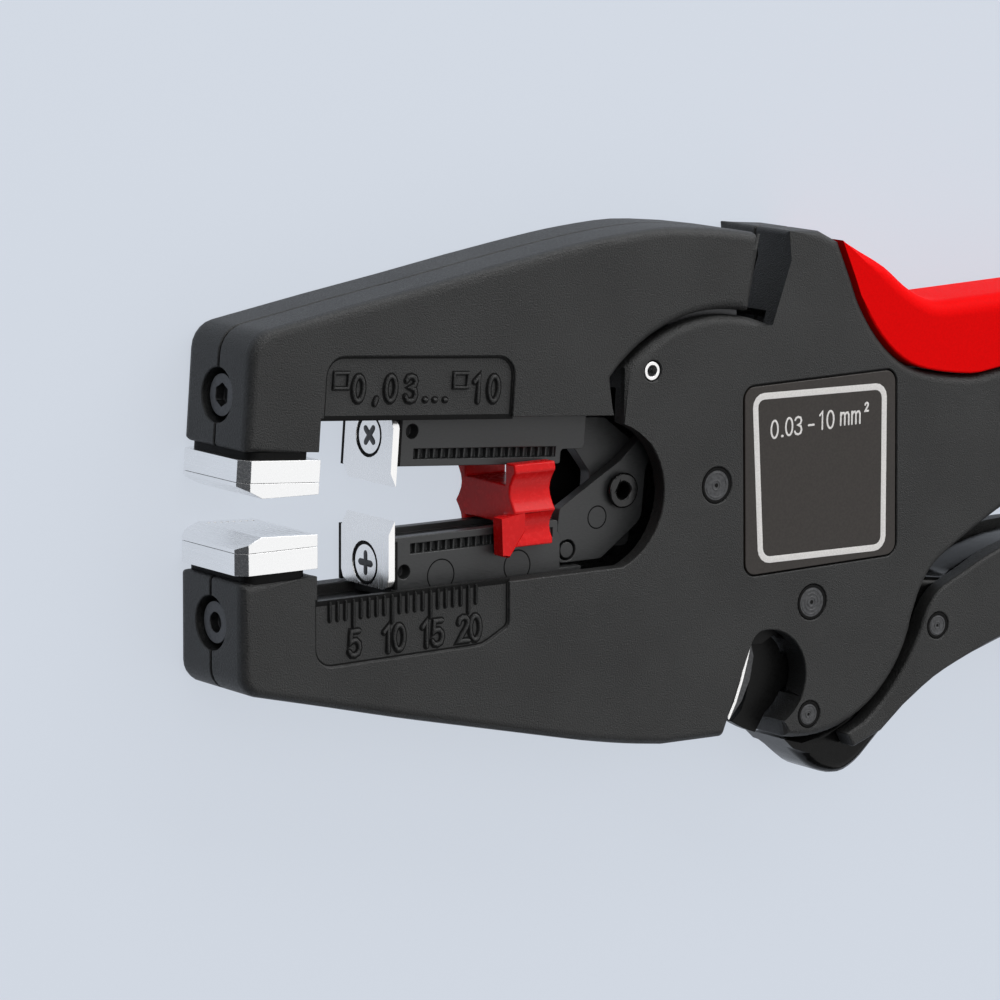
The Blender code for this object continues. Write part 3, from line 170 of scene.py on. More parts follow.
# Light: a wide soft box over the handle's end that shows in the flat side faces, a smaller one
# above the upper edge, a fill that only matte surfaces show and a weak one at the mouth, in a dim
# room. Each lamp has its direction, distance, width, height and radiance.
LAMPS = (("side_box", (0.62, -0.18, 0.78), 1.5, 2.6, 2.2, 0.92),
         ("top_box", (0.43, 0.85, 0.30), 1.5, 2.0, 1.1, 3.6),
         ("fill_box", (-0.35, 0.35, 0.87), 1.5, 1.2, 1.2, 1.3),
         ("mouth_box", (-0.55, 0.75, 0.36), 1.6, 0.8, 0.8, 0.7))
ROOM_COLOUR = (0.80, 0.86, 0.95, 1.0)
ROOM_STRENGTH = 0.06

for name, direction, distance, width, height, radiance in LAMPS:
    lamp = bpy.data.lights.new(name, "AREA")
    lamp.shape = "RECTANGLE"
    lamp.size = width
    lamp.size_y = height
    lamp.energy = radiance * np.pi * width * height
    box = bpy.data.objects.new(name, lamp)
    towards = Vector(direction).normalized()
    box.location = towards * distance
    box.rotation_euler = towards.to_track_quat("Z", "Y").to_euler()
    box.visible_camera = False
    bpy.context.scene.collection.objects.link(box)
room = bpy.data.worlds.new("dim_room")
room.use_nodes = True
room.node_tree.nodes["Background"].inputs["Color"].default_value = ROOM_COLOUR
room.node_tree.nodes["Background"].inputs["Strength"].default_value = ROOM_STRENGTH
bpy.context.scene.world = room


# Housing: two mould halves of glass-filled black plastic, spark-eroded to a fine matte grain, and
# the upper jaw's halves and the lever's cheeks of the same. Their mould edges are barely rounded.
def new_finish(name, **values):
    """Material, its Principled shader with the given socket values, and Object coordinates."""
    made = bpy.data.materials.new(name)
    made.use_nodes = True
    shader = made.node_tree.nodes["Principled BSDF"]
    for socket, value in values.items():
        shader.inputs[socket.replace("_", " ")].default_value = value
    where = made.node_tree.nodes.new("ShaderNodeTexCoord")
    return made, shader, Signal(where.outputs["Object"])


def feed(shader, **signals):
    """Links signals to a shader's sockets."""
    for socket, signal in signals.items():
        shader.id_data.links.new(signal.socket, shader.inputs[socket.replace("_", " ")])


def relief(height, depth):
    """Normal of a surface raised by height times depth, in metres."""
    return height.node("Bump", None, {"Strength": 1.0, "Distance": depth, "Height": height})


def place(name, mesh, body, finish, nodes=()):
    """Links a finished mesh as a piece of a body, with its finish and the nodes it stands for."""
    piece = bpy.data.objects.new(name, mesh)
    bpy.context.scene.collection.objects.link(piece)
    mesh.materials.clear()
    mesh.materials.append(finish)
    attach(piece, body)
    if nodes:
        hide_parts(*nodes)
    return piece


MERGE_WITHIN = 5e-6
FLAT_ANGLE = 0.4
SHARP_ANGLE = 38.0
ROOM_SHARE = 0.45
LEAST_ROUND = 0.2
STRAY_LIMIT = 2.2
STRAY_PASSES = 6
MOULD_ROUND = 0.14


def edged(node, finish, width, steps=2):
    """The node's own solid with its flat faces made whole and a narrow round on each sharp edge.

    Each edge keeps to the round that the edges beside it leave room for: where the next edge is
    sharp too, ROOM_SHARE of the shorter one times the tangent of half their angle, and else that
    share of the next one times the sine. An edge with room for less than LEAST_ROUND of the width
    stays sharp, and so does a corner whose round comes out over STRAY_LIMIT widths long.
    """
    mesh = frame["nodes"][node].data.copy()
    if "custom_normal" in mesh.attributes:
        mesh.attributes.remove(mesh.attributes["custom_normal"])
    shape = bmesh.new()
    shape.from_mesh(mesh)
    bmesh.ops.remove_doubles(shape, verts=shape.verts[:], dist=MERGE_WITHIN)
    bmesh.ops.dissolve_limit(shape, angle_limit=radians(FLAT_ANGLE), verts=shape.verts[:],
                             edges=shape.edges[:])
    share = shape.edges.layers.float.new("bevel_weight_edge")
    sharp = {edge for edge in shape.edges
             if len(edge.link_faces) == 2 and edge.calc_face_angle(0.0) > radians(SHARP_ANGLE)}
    for edge in sharp:
        edge.smooth = False
        room = width * MM
        for loop in edge.link_loops:
            for here, beside in ((loop.vert, loop.link_loop_prev.edge),
                                 (loop.link_loop_next.vert, loop.link_loop_next.edge)):
                angle = (beside.other_vert(here).co - here.co).angle(edge.other_vert(here).co - here.co)
                if beside in sharp:
                    reach = min(edge.calc_length(), beside.calc_length()) * tan(angle / 2)
                else:
                    reach = beside.calc_length() * sin(angle)
                room = min(room, ROOM_SHARE * reach)
        edge[share] = room / (width * MM) if room > LEAST_ROUND * width * MM else 0.0
    shape.to_mesh(mesh)
    shape.free()
    mesh.shade_smooth()
    piece = place(node + "_body", mesh, frame["nodes"][node]["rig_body"], finish, [node])
    rounding = piece.modifiers.new("edges", "BEVEL")
    rounding.width = width * MM
    rounding.segments = steps
    rounding.limit_method = "WEIGHT"
    rounding.use_clamp_overlap = False
    own = KDTree(len(mesh.vertices))
    for point in mesh.vertices:
        own.insert(point.co, point.index)
    own.balance()
    weights = mesh.attributes["bevel_weight_edge"].data
    for _ in range(STRAY_PASSES):
        made = piece.evaluated_get(bpy.context.evaluated_depsgraph_get()).data
        strayed = {point.index for point in made.vertices
                   if own.find(point.co)[2] > STRAY_LIMIT * width * MM}
        if not strayed:
            break
        ends = {own.find(made.vertices[k].co)[1] for edge in made.edges
                for k in edge.vertices if strayed.intersection(edge.vertices)}
        for edge in mesh.edges:
            if ends.intersection(edge.vertices):
                weights[edge.index].value = 0.0
        mesh.update()
    shading = piece.modifiers.new("flat_faces", "WEIGHTED_NORMAL")
    shading.keep_sharp = True
    return piece


matte_black, shader, where = new_finish("matte_black_plastic", Specular_IOR_Level=0.57)
grain = where.noise(5600.0, 2.0, 0.7)
cloud = where.noise(90.0, 2.0)
feed(shader,
     Base_Color=(grain * 0.7 + cloud * 0.3).between(0.35, 0.65).blend((0.0004, 0.0005, 0.0004, 1.0),
                                                                      (0.0165, 0.0170, 0.0167, 1.0)),
     Roughness=grain.between(0.3, 0.7, 0.40, 0.62),
     Normal=relief(grain, 0.00013))
# Painted shade: a darker, barely glossy copy of the black plastic that stays black under any lamp, for
# corners, gaps and the feet of relief where shade falls.
painted_shade_black, shader, where = new_finish("corner_black_plastic", Specular_IOR_Level=0.12)
grain = where.noise(6200.0, 3.0, 0.6)
feed(shader,
     Base_Color=grain.between(0.3, 0.7).blend((0.0020, 0.0020, 0.0020, 1.0),
                                              (0.0035, 0.0035, 0.0035, 1.0)),
     Roughness=grain.between(0.25, 0.75, 0.50, 0.65),
     Normal=relief(grain, 0.00004))

for node in ("housing_near", "housing_far", "upper_jaw_near", "upper_jaw_far", "lever_cheek_near",
             "lever_cheek_far"):
    edged(node, matte_black, MOULD_ROUND)

# Relief on the two side panels, moulded with them: a scale with ticks from 2 to 21 mm on the
# housing, and squares and figures of the wire range on the upper jaw. A low, wider bead of painted
# shade black under each line and along the panels' walls is the painted shadow at its foot.
PANEL_Z = 12.15
JAW_PIVOT = (-15.0, -0.3)
JAW_TILT = -4.1
FIGURE_HEIGHT = 2.8
FIGURE_STROKE = 0.46
FIGURE_RISE = 0.26
FIGURE_SHADOW = 0.4
FIGURE_PITCH = 0.56
WIDE_PITCH = 0.72
FIGURE_MIDDLE = 0.26
SHADOW_RISE = 0.03
WALL_SHADOW = 0.55
BEAD_POINTS = 7
FIGURES = {
    "0": ([(0.26 + 0.23 * np.cos(a), 0.5 + 0.47 * np.sin(a)) for a in np.radians(np.arange(0, 360, 20))],),
    "1": ([(0.14, 0.78), (0.32, 0.97), (0.32, 0.03)],),
    "2": ([(0.05, 0.76), (0.10, 0.90), (0.24, 0.97), (0.38, 0.95), (0.47, 0.84), (0.47, 0.70), (0.40, 0.54),
           (0.22, 0.30), (0.05, 0.04), (0.50, 0.04)],),
    "3": ([(0.05, 0.82), (0.13, 0.94), (0.27, 0.97), (0.42, 0.92), (0.48, 0.78), (0.42, 0.61), (0.24, 0.54),
           (0.44, 0.46), (0.50, 0.26), (0.43, 0.09), (0.27, 0.03), (0.11, 0.07), (0.03, 0.20)],),
    "5": ([(0.46, 0.96), (0.12, 0.96), (0.08, 0.54), (0.20, 0.61), (0.35, 0.60), (0.47, 0.48), (0.50, 0.29),
           (0.43, 0.10), (0.28, 0.03), (0.13, 0.05), (0.03, 0.18)],),
    "m": ([(0.03, 0.03), (0.03, 0.70)],
          [(0.03, 0.52), (0.12, 0.67), (0.24, 0.68), (0.31, 0.56), (0.31, 0.03)],
          [(0.31, 0.54), (0.40, 0.67), (0.52, 0.68), (0.59, 0.56), (0.59, 0.03)]),
    "-": ([(0.08, 0.36), (0.44, 0.36)],)}


def skin(rings, loop=False):
    """Closed skin through equal rings of points: quads between the rings, a face over each end."""
    rings = np.asarray(rings, dtype=float)
    rows, count = rings.shape[:2]
    at = np.arange(count)
    low = (np.arange(rows if loop else rows - 1) * count)[:, None]
    high = (low + count) % (rows * count)
    after = (at + 1) % count
    faces = np.stack([low + at, low + after, high + after, high + at], axis=-1).reshape(-1, 4).tolist()
    if not loop:
        faces += [at[::-1].tolist(), (at + (rows - 1) * count).tolist()]
    return rings.reshape(-1, 3), faces


def joined(name, skins, crease=40.0):
    """One mesh in metres of several skins in mm, smooth but for creases over an angle."""
    points, faces, start = [], [], 0
    for some, rings in skins:
        points.append(some * MM)
        faces += [[start + k for k in ring] for ring in rings]
        start += len(some)
    mesh = bpy.data.meshes.new(name)
    mesh.from_pydata(np.concatenate(points), [], faces)
    mesh.shade_smooth()
    mesh.set_sharp_from_angle(angle=radians(crease))
    return mesh


def bead(path, width, rise, floor, loop=False, sink=0.05):
    """Half-round bead on a flat path: width / 2 * cos a across it and floor + rise * sin a up.

    The ends of an open bead are round, by further points along a quarter circle.
    """
    path = np.asarray(path, dtype=float)
    share = np.ones(len(path))
    if not loop:
        turn = np.radians((86.0, 58.0, 29.0))
        first, last = path[0] - path[1], path[-1] - path[-2]
        reach = (np.sin(turn) * width / 2)[:, None]
        path = np.vstack([path[0] + reach * first / np.hypot(*first), path,
                          (path[-1] + reach * last / np.hypot(*last))[::-1]])
        share = np.concatenate([np.cos(turn), share, np.cos(turn)[::-1]])
    ahead = np.roll(path, -1, axis=0) - path
    if not loop:
        ahead[-1] = ahead[-2]
    ahead /= np.linalg.norm(ahead, axis=1, keepdims=True)
    back = np.roll(ahead, 1, axis=0)
    if not loop:
        back[0] = ahead[0]
    mean = ahead + back
    mean /= np.linalg.norm(mean, axis=1, keepdims=True)
    normal = np.stack([-mean[:, 1], mean[:, 0]], axis=1)
    stretch = share / np.maximum(0.5, (mean * ahead).sum(axis=1))
    angle = np.linspace(0.0, np.pi, BEAD_POINTS)
    across = np.append(np.cos(angle), (-1.0, 1.0)) * width / 2
    up = floor + np.append(np.sin(angle) * rise, (-sink, -sink))
    flat = path[:, None] + normal[:, None] * (stretch[:, None] * across)[..., None]
    return skin(np.concatenate([flat, np.broadcast_to(up, flat.shape[:2])[..., None]], axis=2), loop)


def figures(text, corner, height, gap=0.0):
    """Flat paths of a row of figures from its lower left corner, each with whether it is closed."""
    paths, x = [], corner[0]
    for figure in text:
        paths += [(np.array(stroke) * height + (x, corner[1]), figure == "0")
                  for stroke in FIGURES[figure]]
        x += (WIDE_PITCH if figure == "m" else FIGURE_PITCH) * height + gap
    return paths


def turned_about(skins, centre, angle):
    """Skins turned about an axis along z."""
    c, s = np.cos(radians(angle)), np.sin(radians(angle))
    turn = np.array(((c, s, 0.0), (-s, c, 0.0), (0.0, 0.0, 1.0)))
    middle = np.array((*centre, 0.0))
    return [((points - middle) @ turn + middle, faces) for points, faces in skins]


def panel_edges(node, level):
    """Closed flat paths in mm where a node's sunk floor at one level meets its walls."""
    shape = bmesh.new()
    shape.from_mesh(frame["nodes"][node].data)
    bmesh.ops.remove_doubles(shape, verts=shape.verts[:], dist=MERGE_WITHIN)
    foot = [edge for edge in shape.edges
            if all(abs(point.co.z / MM - level) < 0.01 for point in edge.verts)
            and sorted(abs(face.normal.z) > 0.9 for face in edge.link_faces) == [False, True]]
    paths, left = [], set(foot)
    while left:
        edge = left.pop()
        path = [edge.verts[0], edge.verts[1]]
        while True:
            following = next((other for other in path[-1].link_edges if other in left), None)
            if following is None:
                break
            left.remove(following)
            path.append(following.other_vert(path[-1]))
        paths.append(np.array([point.co.xy for point in path[:-1]]) / MM)
    shape.free()
    return [path for path in paths if len(path) > 8]


SCALE_ZERO = np.array((-68.8, -8.35))
TICKS = range(2, 22)
NUMBERED = 5
LONG_TICK, SHORT_TICK = 2.85, 1.87
TICK_WIDTH, TICK_SHADOW, TICK_RISE = 0.30, 0.32, 0.24
FIGURE_DROP = 3.25
FIGURE_SHIFT = 0.17

scale, painted_foot_shadow = [], []
for tick in TICKS:
    numbered = tick % NUMBERED == 0
    top = SCALE_ZERO + (tick, 0.0)
    line = [top, top - (0.0, LONG_TICK if numbered else SHORT_TICK)]
    scale.append(bead(line, TICK_WIDTH, TICK_RISE, PANEL_Z))
    painted_foot_shadow.append(bead(line, TICK_WIDTH + TICK_SHADOW, SHADOW_RISE, PANEL_Z))
    if numbered:
        digits = str(tick)
        corner = top - (FIGURE_PITCH / 2 * FIGURE_HEIGHT * len(digits) - FIGURE_SHIFT,
                        FIGURE_DROP + FIGURE_HEIGHT)
        for path, closed in figures(digits, corner, FIGURE_HEIGHT):
            scale.append(bead(path, FIGURE_STROKE, FIGURE_RISE, PANEL_Z, closed))
            painted_foot_shadow.append(bead(path, FIGURE_STROKE + FIGURE_SHADOW, SHADOW_RISE, PANEL_Z, closed))
for path in panel_edges("housing_near", PANEL_Z):
    painted_foot_shadow.append(bead(path, WALL_SHADOW, SHADOW_RISE, PANEL_Z, loop=True))
housing_body = frame["nodes"]["housing_near"]["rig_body"]
place("housing_scale", joined("housing_scale", scale), housing_body, matte_black)
place("housing_scale_contour", joined("housing_scale_contour", painted_foot_shadow), housing_body,
      painted_shade_black)

SQUARES = ((-66.34, 11.71, 1.81, 1.62), (-50.87, 11.67, 1.78, 1.52))
SQUARE_LINE = 0.32
SQUARE_SHADOW = 0.2
RANGE_FIGURES = (("0", -64.09, 10.84, 2.79), ("0", -59.95, 10.82, 2.80), ("3", -57.35, 10.80, 2.81),
                 ("1", -48.66, 10.73, 2.81), ("0", -46.46, 10.73, 2.84))
RANGE_COMMA = ((-61.71, 9.74), (-61.91, 9.24))
RANGE_DOTS = ((-55.38, 9.60), (-54.13, 9.59), (-52.78, 9.58))
DOT_HALF = 0.05

strokes = [(RANGE_COMMA, False)]
strokes += [([(x - DOT_HALF, y), (x + DOT_HALF, y)], False) for x, y in RANGE_DOTS]
for figure, x, y, height in RANGE_FIGURES:
    strokes += figures(figure, (x - FIGURE_MIDDLE * height, y - height / 2), height)
marks = [bead(path, FIGURE_STROKE, FIGURE_RISE, PANEL_Z, closed) for path, closed in strokes]
painted_foot_shadow = [bead(path, FIGURE_STROKE + FIGURE_SHADOW, SHADOW_RISE, PANEL_Z, closed)
           for path, closed in strokes]
for x, y, width, height in SQUARES:
    path = (x, y) + np.array(((-1, -1), (1, -1), (1, 1), (-1, 1))) * (width / 2, height / 2)
    marks.append(bead(path, SQUARE_LINE, FIGURE_RISE, PANEL_Z, loop=True))
    painted_foot_shadow.append(bead(path, SQUARE_LINE + SQUARE_SHADOW, SHADOW_RISE, PANEL_Z, loop=True))
marks, painted_foot_shadow = turned_about(marks, JAW_PIVOT, JAW_TILT), turned_about(painted_foot_shadow, JAW_PIVOT, JAW_TILT)
for path in panel_edges("upper_jaw_near", PANEL_Z):
    painted_foot_shadow.append(bead(path, WALL_SHADOW, SHADOW_RISE, PANEL_Z, loop=True))
jaw_body = frame["nodes"]["upper_jaw_near"]["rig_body"]
place("jaw_marks", joined("jaw_marks", marks), jaw_body, matte_black)
place("jaw_marks_contour", joined("jaw_marks_contour", painted_foot_shadow), jaw_body, painted_shade_black)

# Necks: the plastic under each grip plate, moulded with its jaw and rounded at its corners, in
# the painted shade black for the shadow in the slit under each plate.
NECK_X = (-77.3, -69.5)
LOWER_NECK_Y = (-5.5, -4.35)
UPPER_NECK_Y = (3.3, 4.2)
NECK_Z = (0.4, 12.1)
NECK_ROUND = 1.3


def block(x, y, z, radius, steps=5):
    """Box with its four edges along y rounded; x, y and z are its limits."""
    angle = np.radians(np.arange(4)[:, None] * 90.0 + np.linspace(0.0, 90.0, steps)).ravel()
    sign = np.repeat([(1, 1), (-1, 1), (-1, -1), (1, -1)], steps, axis=0)
    middle, half = np.mean((x, z), axis=1), np.ptp((x, z), axis=1) / 2 - radius
    ring = middle + sign * half + radius * np.column_stack([np.cos(angle), np.sin(angle)])
    return skin([np.column_stack([ring[:, 0], np.full(len(ring), level), ring[:, 1]])
                 for level in (y[1], y[0])])


place("lower_neck", joined("lower_neck", [block(NECK_X, LOWER_NECK_Y, NECK_Z, NECK_ROUND)]), housing_body,
      painted_shade_black)
place("upper_neck", joined("upper_neck", turned_about([block(NECK_X, UPPER_NECK_Y, NECK_Z, NECK_ROUND)],
                                                      JAW_PIVOT, JAW_TILT)), jaw_body,
      painted_shade_black)

# Label plate: a thin anodised plate with a printed frame and the range of wire sizes in plain
# numbers, glued into its pocket.
LABEL_FACE = 12.48
SMALL_ROUND = 0.08
label_finish, shader, where = new_finish("label_print", Roughness=0.42, Specular_IOR_Level=0.42)
fleck = where.noise(4200.0, 2.0)
feed(shader,
     Base_Color=fleck.between(0.3, 0.7).blend((0.020, 0.015, 0.012, 1.0), (0.028, 0.022, 0.018, 1.0)))
edged("label_plate", label_finish, SMALL_ROUND)
white_print, shader, where = new_finish("white_print", Roughness=0.5)
fleck = where.noise(5200.0, 2.0)
feed(shader,
     Base_Color=fleck.between(0.3, 0.7).blend((0.70, 0.68, 0.66, 1.0), (0.80, 0.78, 0.76, 1.0)))
FRAME_CORNERS = ((-9.7, 9.25), (9.15, 9.05), (9.35, -9.6), (-8.6, -9.45))
FRAME_LINE = 0.75
FRAME_ROUND = 1.3
PRINT_STROKE = 0.24
PRINT_RISE = 0.012
PRINT_SINK = 0.01
TEXT_START = (-7.4, 4.3)
TEXT_SLOPE = 0.068
TEXT_HEIGHT = 2.1
TEXT_GAP = 0.13
TEXT = (("0", -7.4, TEXT_HEIGHT), ("03", -5.3, TEXT_HEIGHT), ("-", -2.1, TEXT_HEIGHT),
        ("10", -0.6, TEXT_HEIGHT), ("mm", 2.7, TEXT_HEIGHT), ("2", 6.3, 1.0))
POINT = ((-5.78, 4.5), (-5.68, 4.5))
POINT_STROKE = 0.28


def rounded_path(corners, radius, steps=5):
    """Closed path through corners listed clockwise, each cut off by a quarter circle."""
    corners = np.asarray(corners, dtype=float)
    path = []
    for before, at, after in zip(np.roll(corners, 1, axis=0), corners, np.roll(corners, -1, axis=0)):
        back, ahead = ((end - at) / np.hypot(*(end - at)) * radius for end in (before, after))
        turn = np.radians(np.linspace(0.0, 90.0, steps))[:, None]
        path.append(at + back * (1 - np.sin(turn)) + ahead * (1 - np.cos(turn)))
    return np.concatenate(path)


prints = [bead(rounded_path(FRAME_CORNERS, FRAME_ROUND), FRAME_LINE, PRINT_RISE, LABEL_FACE, loop=True,
               sink=PRINT_SINK),
          bead(POINT, POINT_STROKE, PRINT_RISE, LABEL_FACE, sink=PRINT_SINK)]
for text, x, height in TEXT:
    line = TEXT_START[1] + TEXT_SLOPE * (x - TEXT_START[0]) + TEXT_HEIGHT - height
    for path, closed in figures(text, (x, line), height, TEXT_GAP):
        prints.append(bead(path, PRINT_STROKE, PRINT_RISE, LABEL_FACE, closed, sink=PRINT_SINK))
place("label_lines", joined("label_lines", prints), housing_body, white_print)

# Pins and rivets: blackened steel with rings left by turning on both ends; the jaw's tongues and
# the front screws have the same finish. Round each pin a bead of painted shade draws the shadow
# in its gap, with a small dot of it at its centre.
blackened, shader, where = new_finish("blackened_steel", Metallic=0.85)
fleck = where.noise(3000.0, 3.0)
feed(shader,
     Base_Color=fleck.between(0.3, 0.7).blend((0.060, 0.061, 0.063, 1.0), (0.095, 0.096, 0.100, 1.0)),
     Roughness=fleck.between(0.2, 0.8, 0.34, 0.5),
     Normal=relief(fleck, 0.00001))
for node in ("jaw_pivot_pin", "lever_pivot_pin", "housing_rivet", "handle_rivet_1", "handle_rivet_2",
             "lever_rivet_1", "lever_rivet_2", "lever_rivet_3", "jaw_tongue_far", "jaw_tongue_near",
             "lower_front_screw", "upper_front_screw"):
    edged(node, blackened, SMALL_ROUND)
THICKNESS = 12.5
PIN_FACE = 12.4
PIN_RINGS = (("jaw_pivot_pin", 1.8, 2), ("lever_pivot_pin", 1.8, 3), ("housing_rivet", 1.3, 2),
             ("lever_rivet_1", 1.3, 2), ("lever_rivet_2", 1.3, 2), ("lever_rivet_3", 1.3, 2),
             ("handle_rivet_1", 1.3, 2), ("handle_rivet_2", 1.3, 2))
RING_SPAN = (0.30, 0.78)
RING_WIDTH = 0.13
RING_RISE = 0.035
GAP_OUT = 0.05
GAP_WIDTH = 0.34
GAP_RISE = 0.03
CENTRE_MARK = 0.07
CENTRE_RISE = 0.02


def ring_path(centre, radius, count=24):
    """Closed circle on a flat face."""
    angle = np.radians(np.arange(count) * 360.0 / count)
    return centre + radius * np.column_stack([np.cos(angle), np.sin(angle)])


def both_faces(skins):
    """Skins on the near face and the same ones mirrored on the far face."""
    return skins + [(points * (1, 1, -1) + (0, 0, THICKNESS), [ring[::-1] for ring in faces])
                    for points, faces in skins]


for node, radius, rings in PIN_RINGS:
    centre = np.mean([point.co.xy for point in frame["nodes"][node].data.vertices], axis=0) / MM
    turned = [bead(ring_path(centre, radius * share), radius * RING_WIDTH, RING_RISE, PIN_FACE, loop=True)
              for share in np.linspace(*RING_SPAN, rings)]
    body = frame["nodes"][node]["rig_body"]
    place(node + "_turned_rings", joined(node + "_turned_rings", both_faces(turned)), body,
          blackened)
    gap = [bead(ring_path(centre, radius + GAP_OUT), GAP_WIDTH, GAP_RISE, PIN_FACE, loop=True),
           bead(ring_path(centre, radius * CENTRE_MARK, 8), radius * RING_WIDTH, CENTRE_RISE, PIN_FACE,
                loop=True)]
    place(node + "_shadow_gap", joined(node + "_shadow_gap", both_faces(gap)), body,
          painted_shade_black)

# Cutter: two blades in the notch, near black and barely glossy: painted shade, as the notch lies
# in shadow. Only the moving one's ground edge is bright, beside a thin lens-shaped face.
GROUND_ROUND = 0.06
# Painted shade: the blades' near black, low-gloss finish stands for the shadow in the notch.
cutter_painted_shade, shader, where = new_finish("cutter_shade_black", Specular_IOR_Level=0.15)
fleck = where.noise(3000.0, 3.0)
feed(shader,
     Base_Color=fleck.between(0.3, 0.7).blend((0.003, 0.003, 0.003, 1.0), (0.006, 0.006, 0.006, 1.0)),
     Roughness=fleck.between(0.2, 0.8, 0.30, 0.45))
edged("fixed_cutter_blade", cutter_painted_shade, SMALL_ROUND)
edged("moving_cutter_blade", cutter_painted_shade, GROUND_ROUND)
GROUND_EDGE = np.array(((-8.25, -19.6), (-8.55, -20.9), (-9.3, -23.5), (-10.2, -25.9), (-11.1, -27.6)))
LENS_BULGE = 0.9
LENS_INSET = 0.2
LENS_LEAST = 0.05
LENS_LEVELS = (-0.05, 0.02)
CUTTER_FACE = 10.25
share = np.linspace(0.0, 1.0, len(GROUND_EDGE))
inner = GROUND_EDGE + (LENS_INSET, 0.0)
outer = inner + np.column_stack([LENS_LEAST + LENS_BULGE * np.sin(np.pi * share), np.zeros(len(share))])
lens_ring = np.concatenate([inner, outer[::-1]])
lens_skin = skin([np.column_stack([lens_ring, np.full(len(lens_ring), CUTTER_FACE + level)])
                  for level in LENS_LEVELS])
lever_body = frame["nodes"]["moving_cutter_blade"]["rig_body"]
place("cutter_lens", joined("cutter_lens", [lens_skin]), lever_body, blackened)

# Pull pin: a hollow pin with a glossy black head, which holds the pull plate and the pull arm
# together.
PIN_ROUND = 0.3
pin_gloss, shader, where = new_finish("glossy_black_pin", Specular_IOR_Level=0.5)
fleck = where.noise(2500.0, 2.0)
feed(shader,
     Base_Color=fleck.between(0.3, 0.7).blend((0.003, 0.003, 0.003, 1.0), (0.005, 0.005, 0.005, 1.0)),
     Roughness=fleck.between(0.2, 0.8, 0.16, 0.26))
edged("pull_pin", pin_gloss, PIN_ROUND, steps=3)

# Grip plates: machined aluminium bases with the gripping inserts pressed on, their front corners
# chamfered, the wire's way in sloping and fine cross grooves behind it.
PLATE_X = (-78.3, -68.55)
PLATE_LOW = -4.4
INSERT_LOW = -2.02
PLATE_TOP = -0.4
SEAM = 0.05
WAY_IN = (2.7, 1.2)
REAR_DROP = 0.35
CORNER_CUT = 1.1
GROOVE = (0.8, 0.3)
GROOVE_HALF = 0.22
GROOVES_AFTER = 0.6
GROOVES_BEFORE = 0.5
GROOVE_END = 0.05
PLATE_ROUND = 0.07
aluminium, shader, where = new_finish("machined_aluminium", Metallic=1.0)
mill = where.stretched(1.0, 1.0, 0.05).noise(5000.0, 2.0)
feed(shader,
     Base_Color=mill.between(0.2, 0.8).blend((0.92, 0.92, 0.92, 1.0), (0.97, 0.97, 0.97, 1.0)),
     Roughness=mill.between(0.2, 0.8, 0.20, 0.30),
     Normal=relief(mill, 0.000004))


def grip_top(x):
    """Height of the gripping face: up the way in, then slowly down to the rear."""
    front, rear = PLATE_X
    return np.interp(x, (front, front + WAY_IN[0], rear), (PLATE_TOP - WAY_IN[1], PLATE_TOP,
                                                           PLATE_TOP - REAR_DROP))


def plate_layer(low, high=None):
    """One layer of the lower grip plate, from side to side; without a high level it has the grip."""
    front, rear = PLATE_X
    grooves = np.arange(front + WAY_IN[0] + GROOVES_AFTER, rear - GROOVES_BEFORE, GROOVE[0])
    rings = []
    for z, cut, depth in ((0.0, CORNER_CUT, 0.0), (CORNER_CUT, 0.0, 0.0),
                          (CORNER_CUT + GROOVE_END, 0.0, 1.0),
                          (THICKNESS - GROOVE_END - CORNER_CUT, 0.0, 1.0),
                          (THICKNESS - CORNER_CUT, 0.0, 0.0), (THICKNESS, CORNER_CUT, 0.0)):
        if high is not None:
            ring = [(front + cut, low), (rear, low), (rear, high), (front + cut, high)]
        else:
            ring = [(front + cut, low), (rear, low), (rear, grip_top(rear))]
            for at in grooves[::-1]:
                ring += [(at + GROOVE_HALF, grip_top(at + GROOVE_HALF)),
                         (at, grip_top(at) - GROOVE[1] * depth),
                         (at - GROOVE_HALF, grip_top(at - GROOVE_HALF))]
            ring += [(front + WAY_IN[0], PLATE_TOP), (front + cut, grip_top(front + cut))]
        rings.append([(*point, z) for point in ring])
    return skin(rings)


def mirrored_up(skins):
    """Skins of the lower jaw mirrored about the jaw axis and tilted with the upper jaw."""
    flipped = [(points * (1, -1, 1) + (0, 2 * JAW_PIVOT[1], 0), [ring[::-1] for ring in faces])
               for points, faces in skins]
    return turned_about(flipped, JAW_PIVOT, JAW_TILT)


UPPER_LIFT = np.array((0.0, 0.45, 0.0))
layers = [plate_layer(PLATE_LOW, INSERT_LOW - SEAM / 2), plate_layer(INSERT_LOW + SEAM / 2)]
raised = [(points + UPPER_LIFT, faces) for points, faces in layers]
for side, skins, body in (("lower", layers, housing_body), ("upper", mirrored_up(raised), jaw_body)):
    plate = place(side + "_grip_layers", joined(side + "_grip_layers", skins, 20.0), body,
                  aluminium, [side + "_grip_plate"])
    rounding = plate.modifiers.new("edges", "BEVEL")
    rounding.width = PLATE_ROUND * MM
    rounding.segments = 2
    rounding.limit_method = "ANGLE"
    rounding.angle_limit = radians(SHARP_ANGLE)
    shading = plate.modifiers.new("flat_faces", "WEIGHTED_NORMAL")
    shading.keep_sharp = True

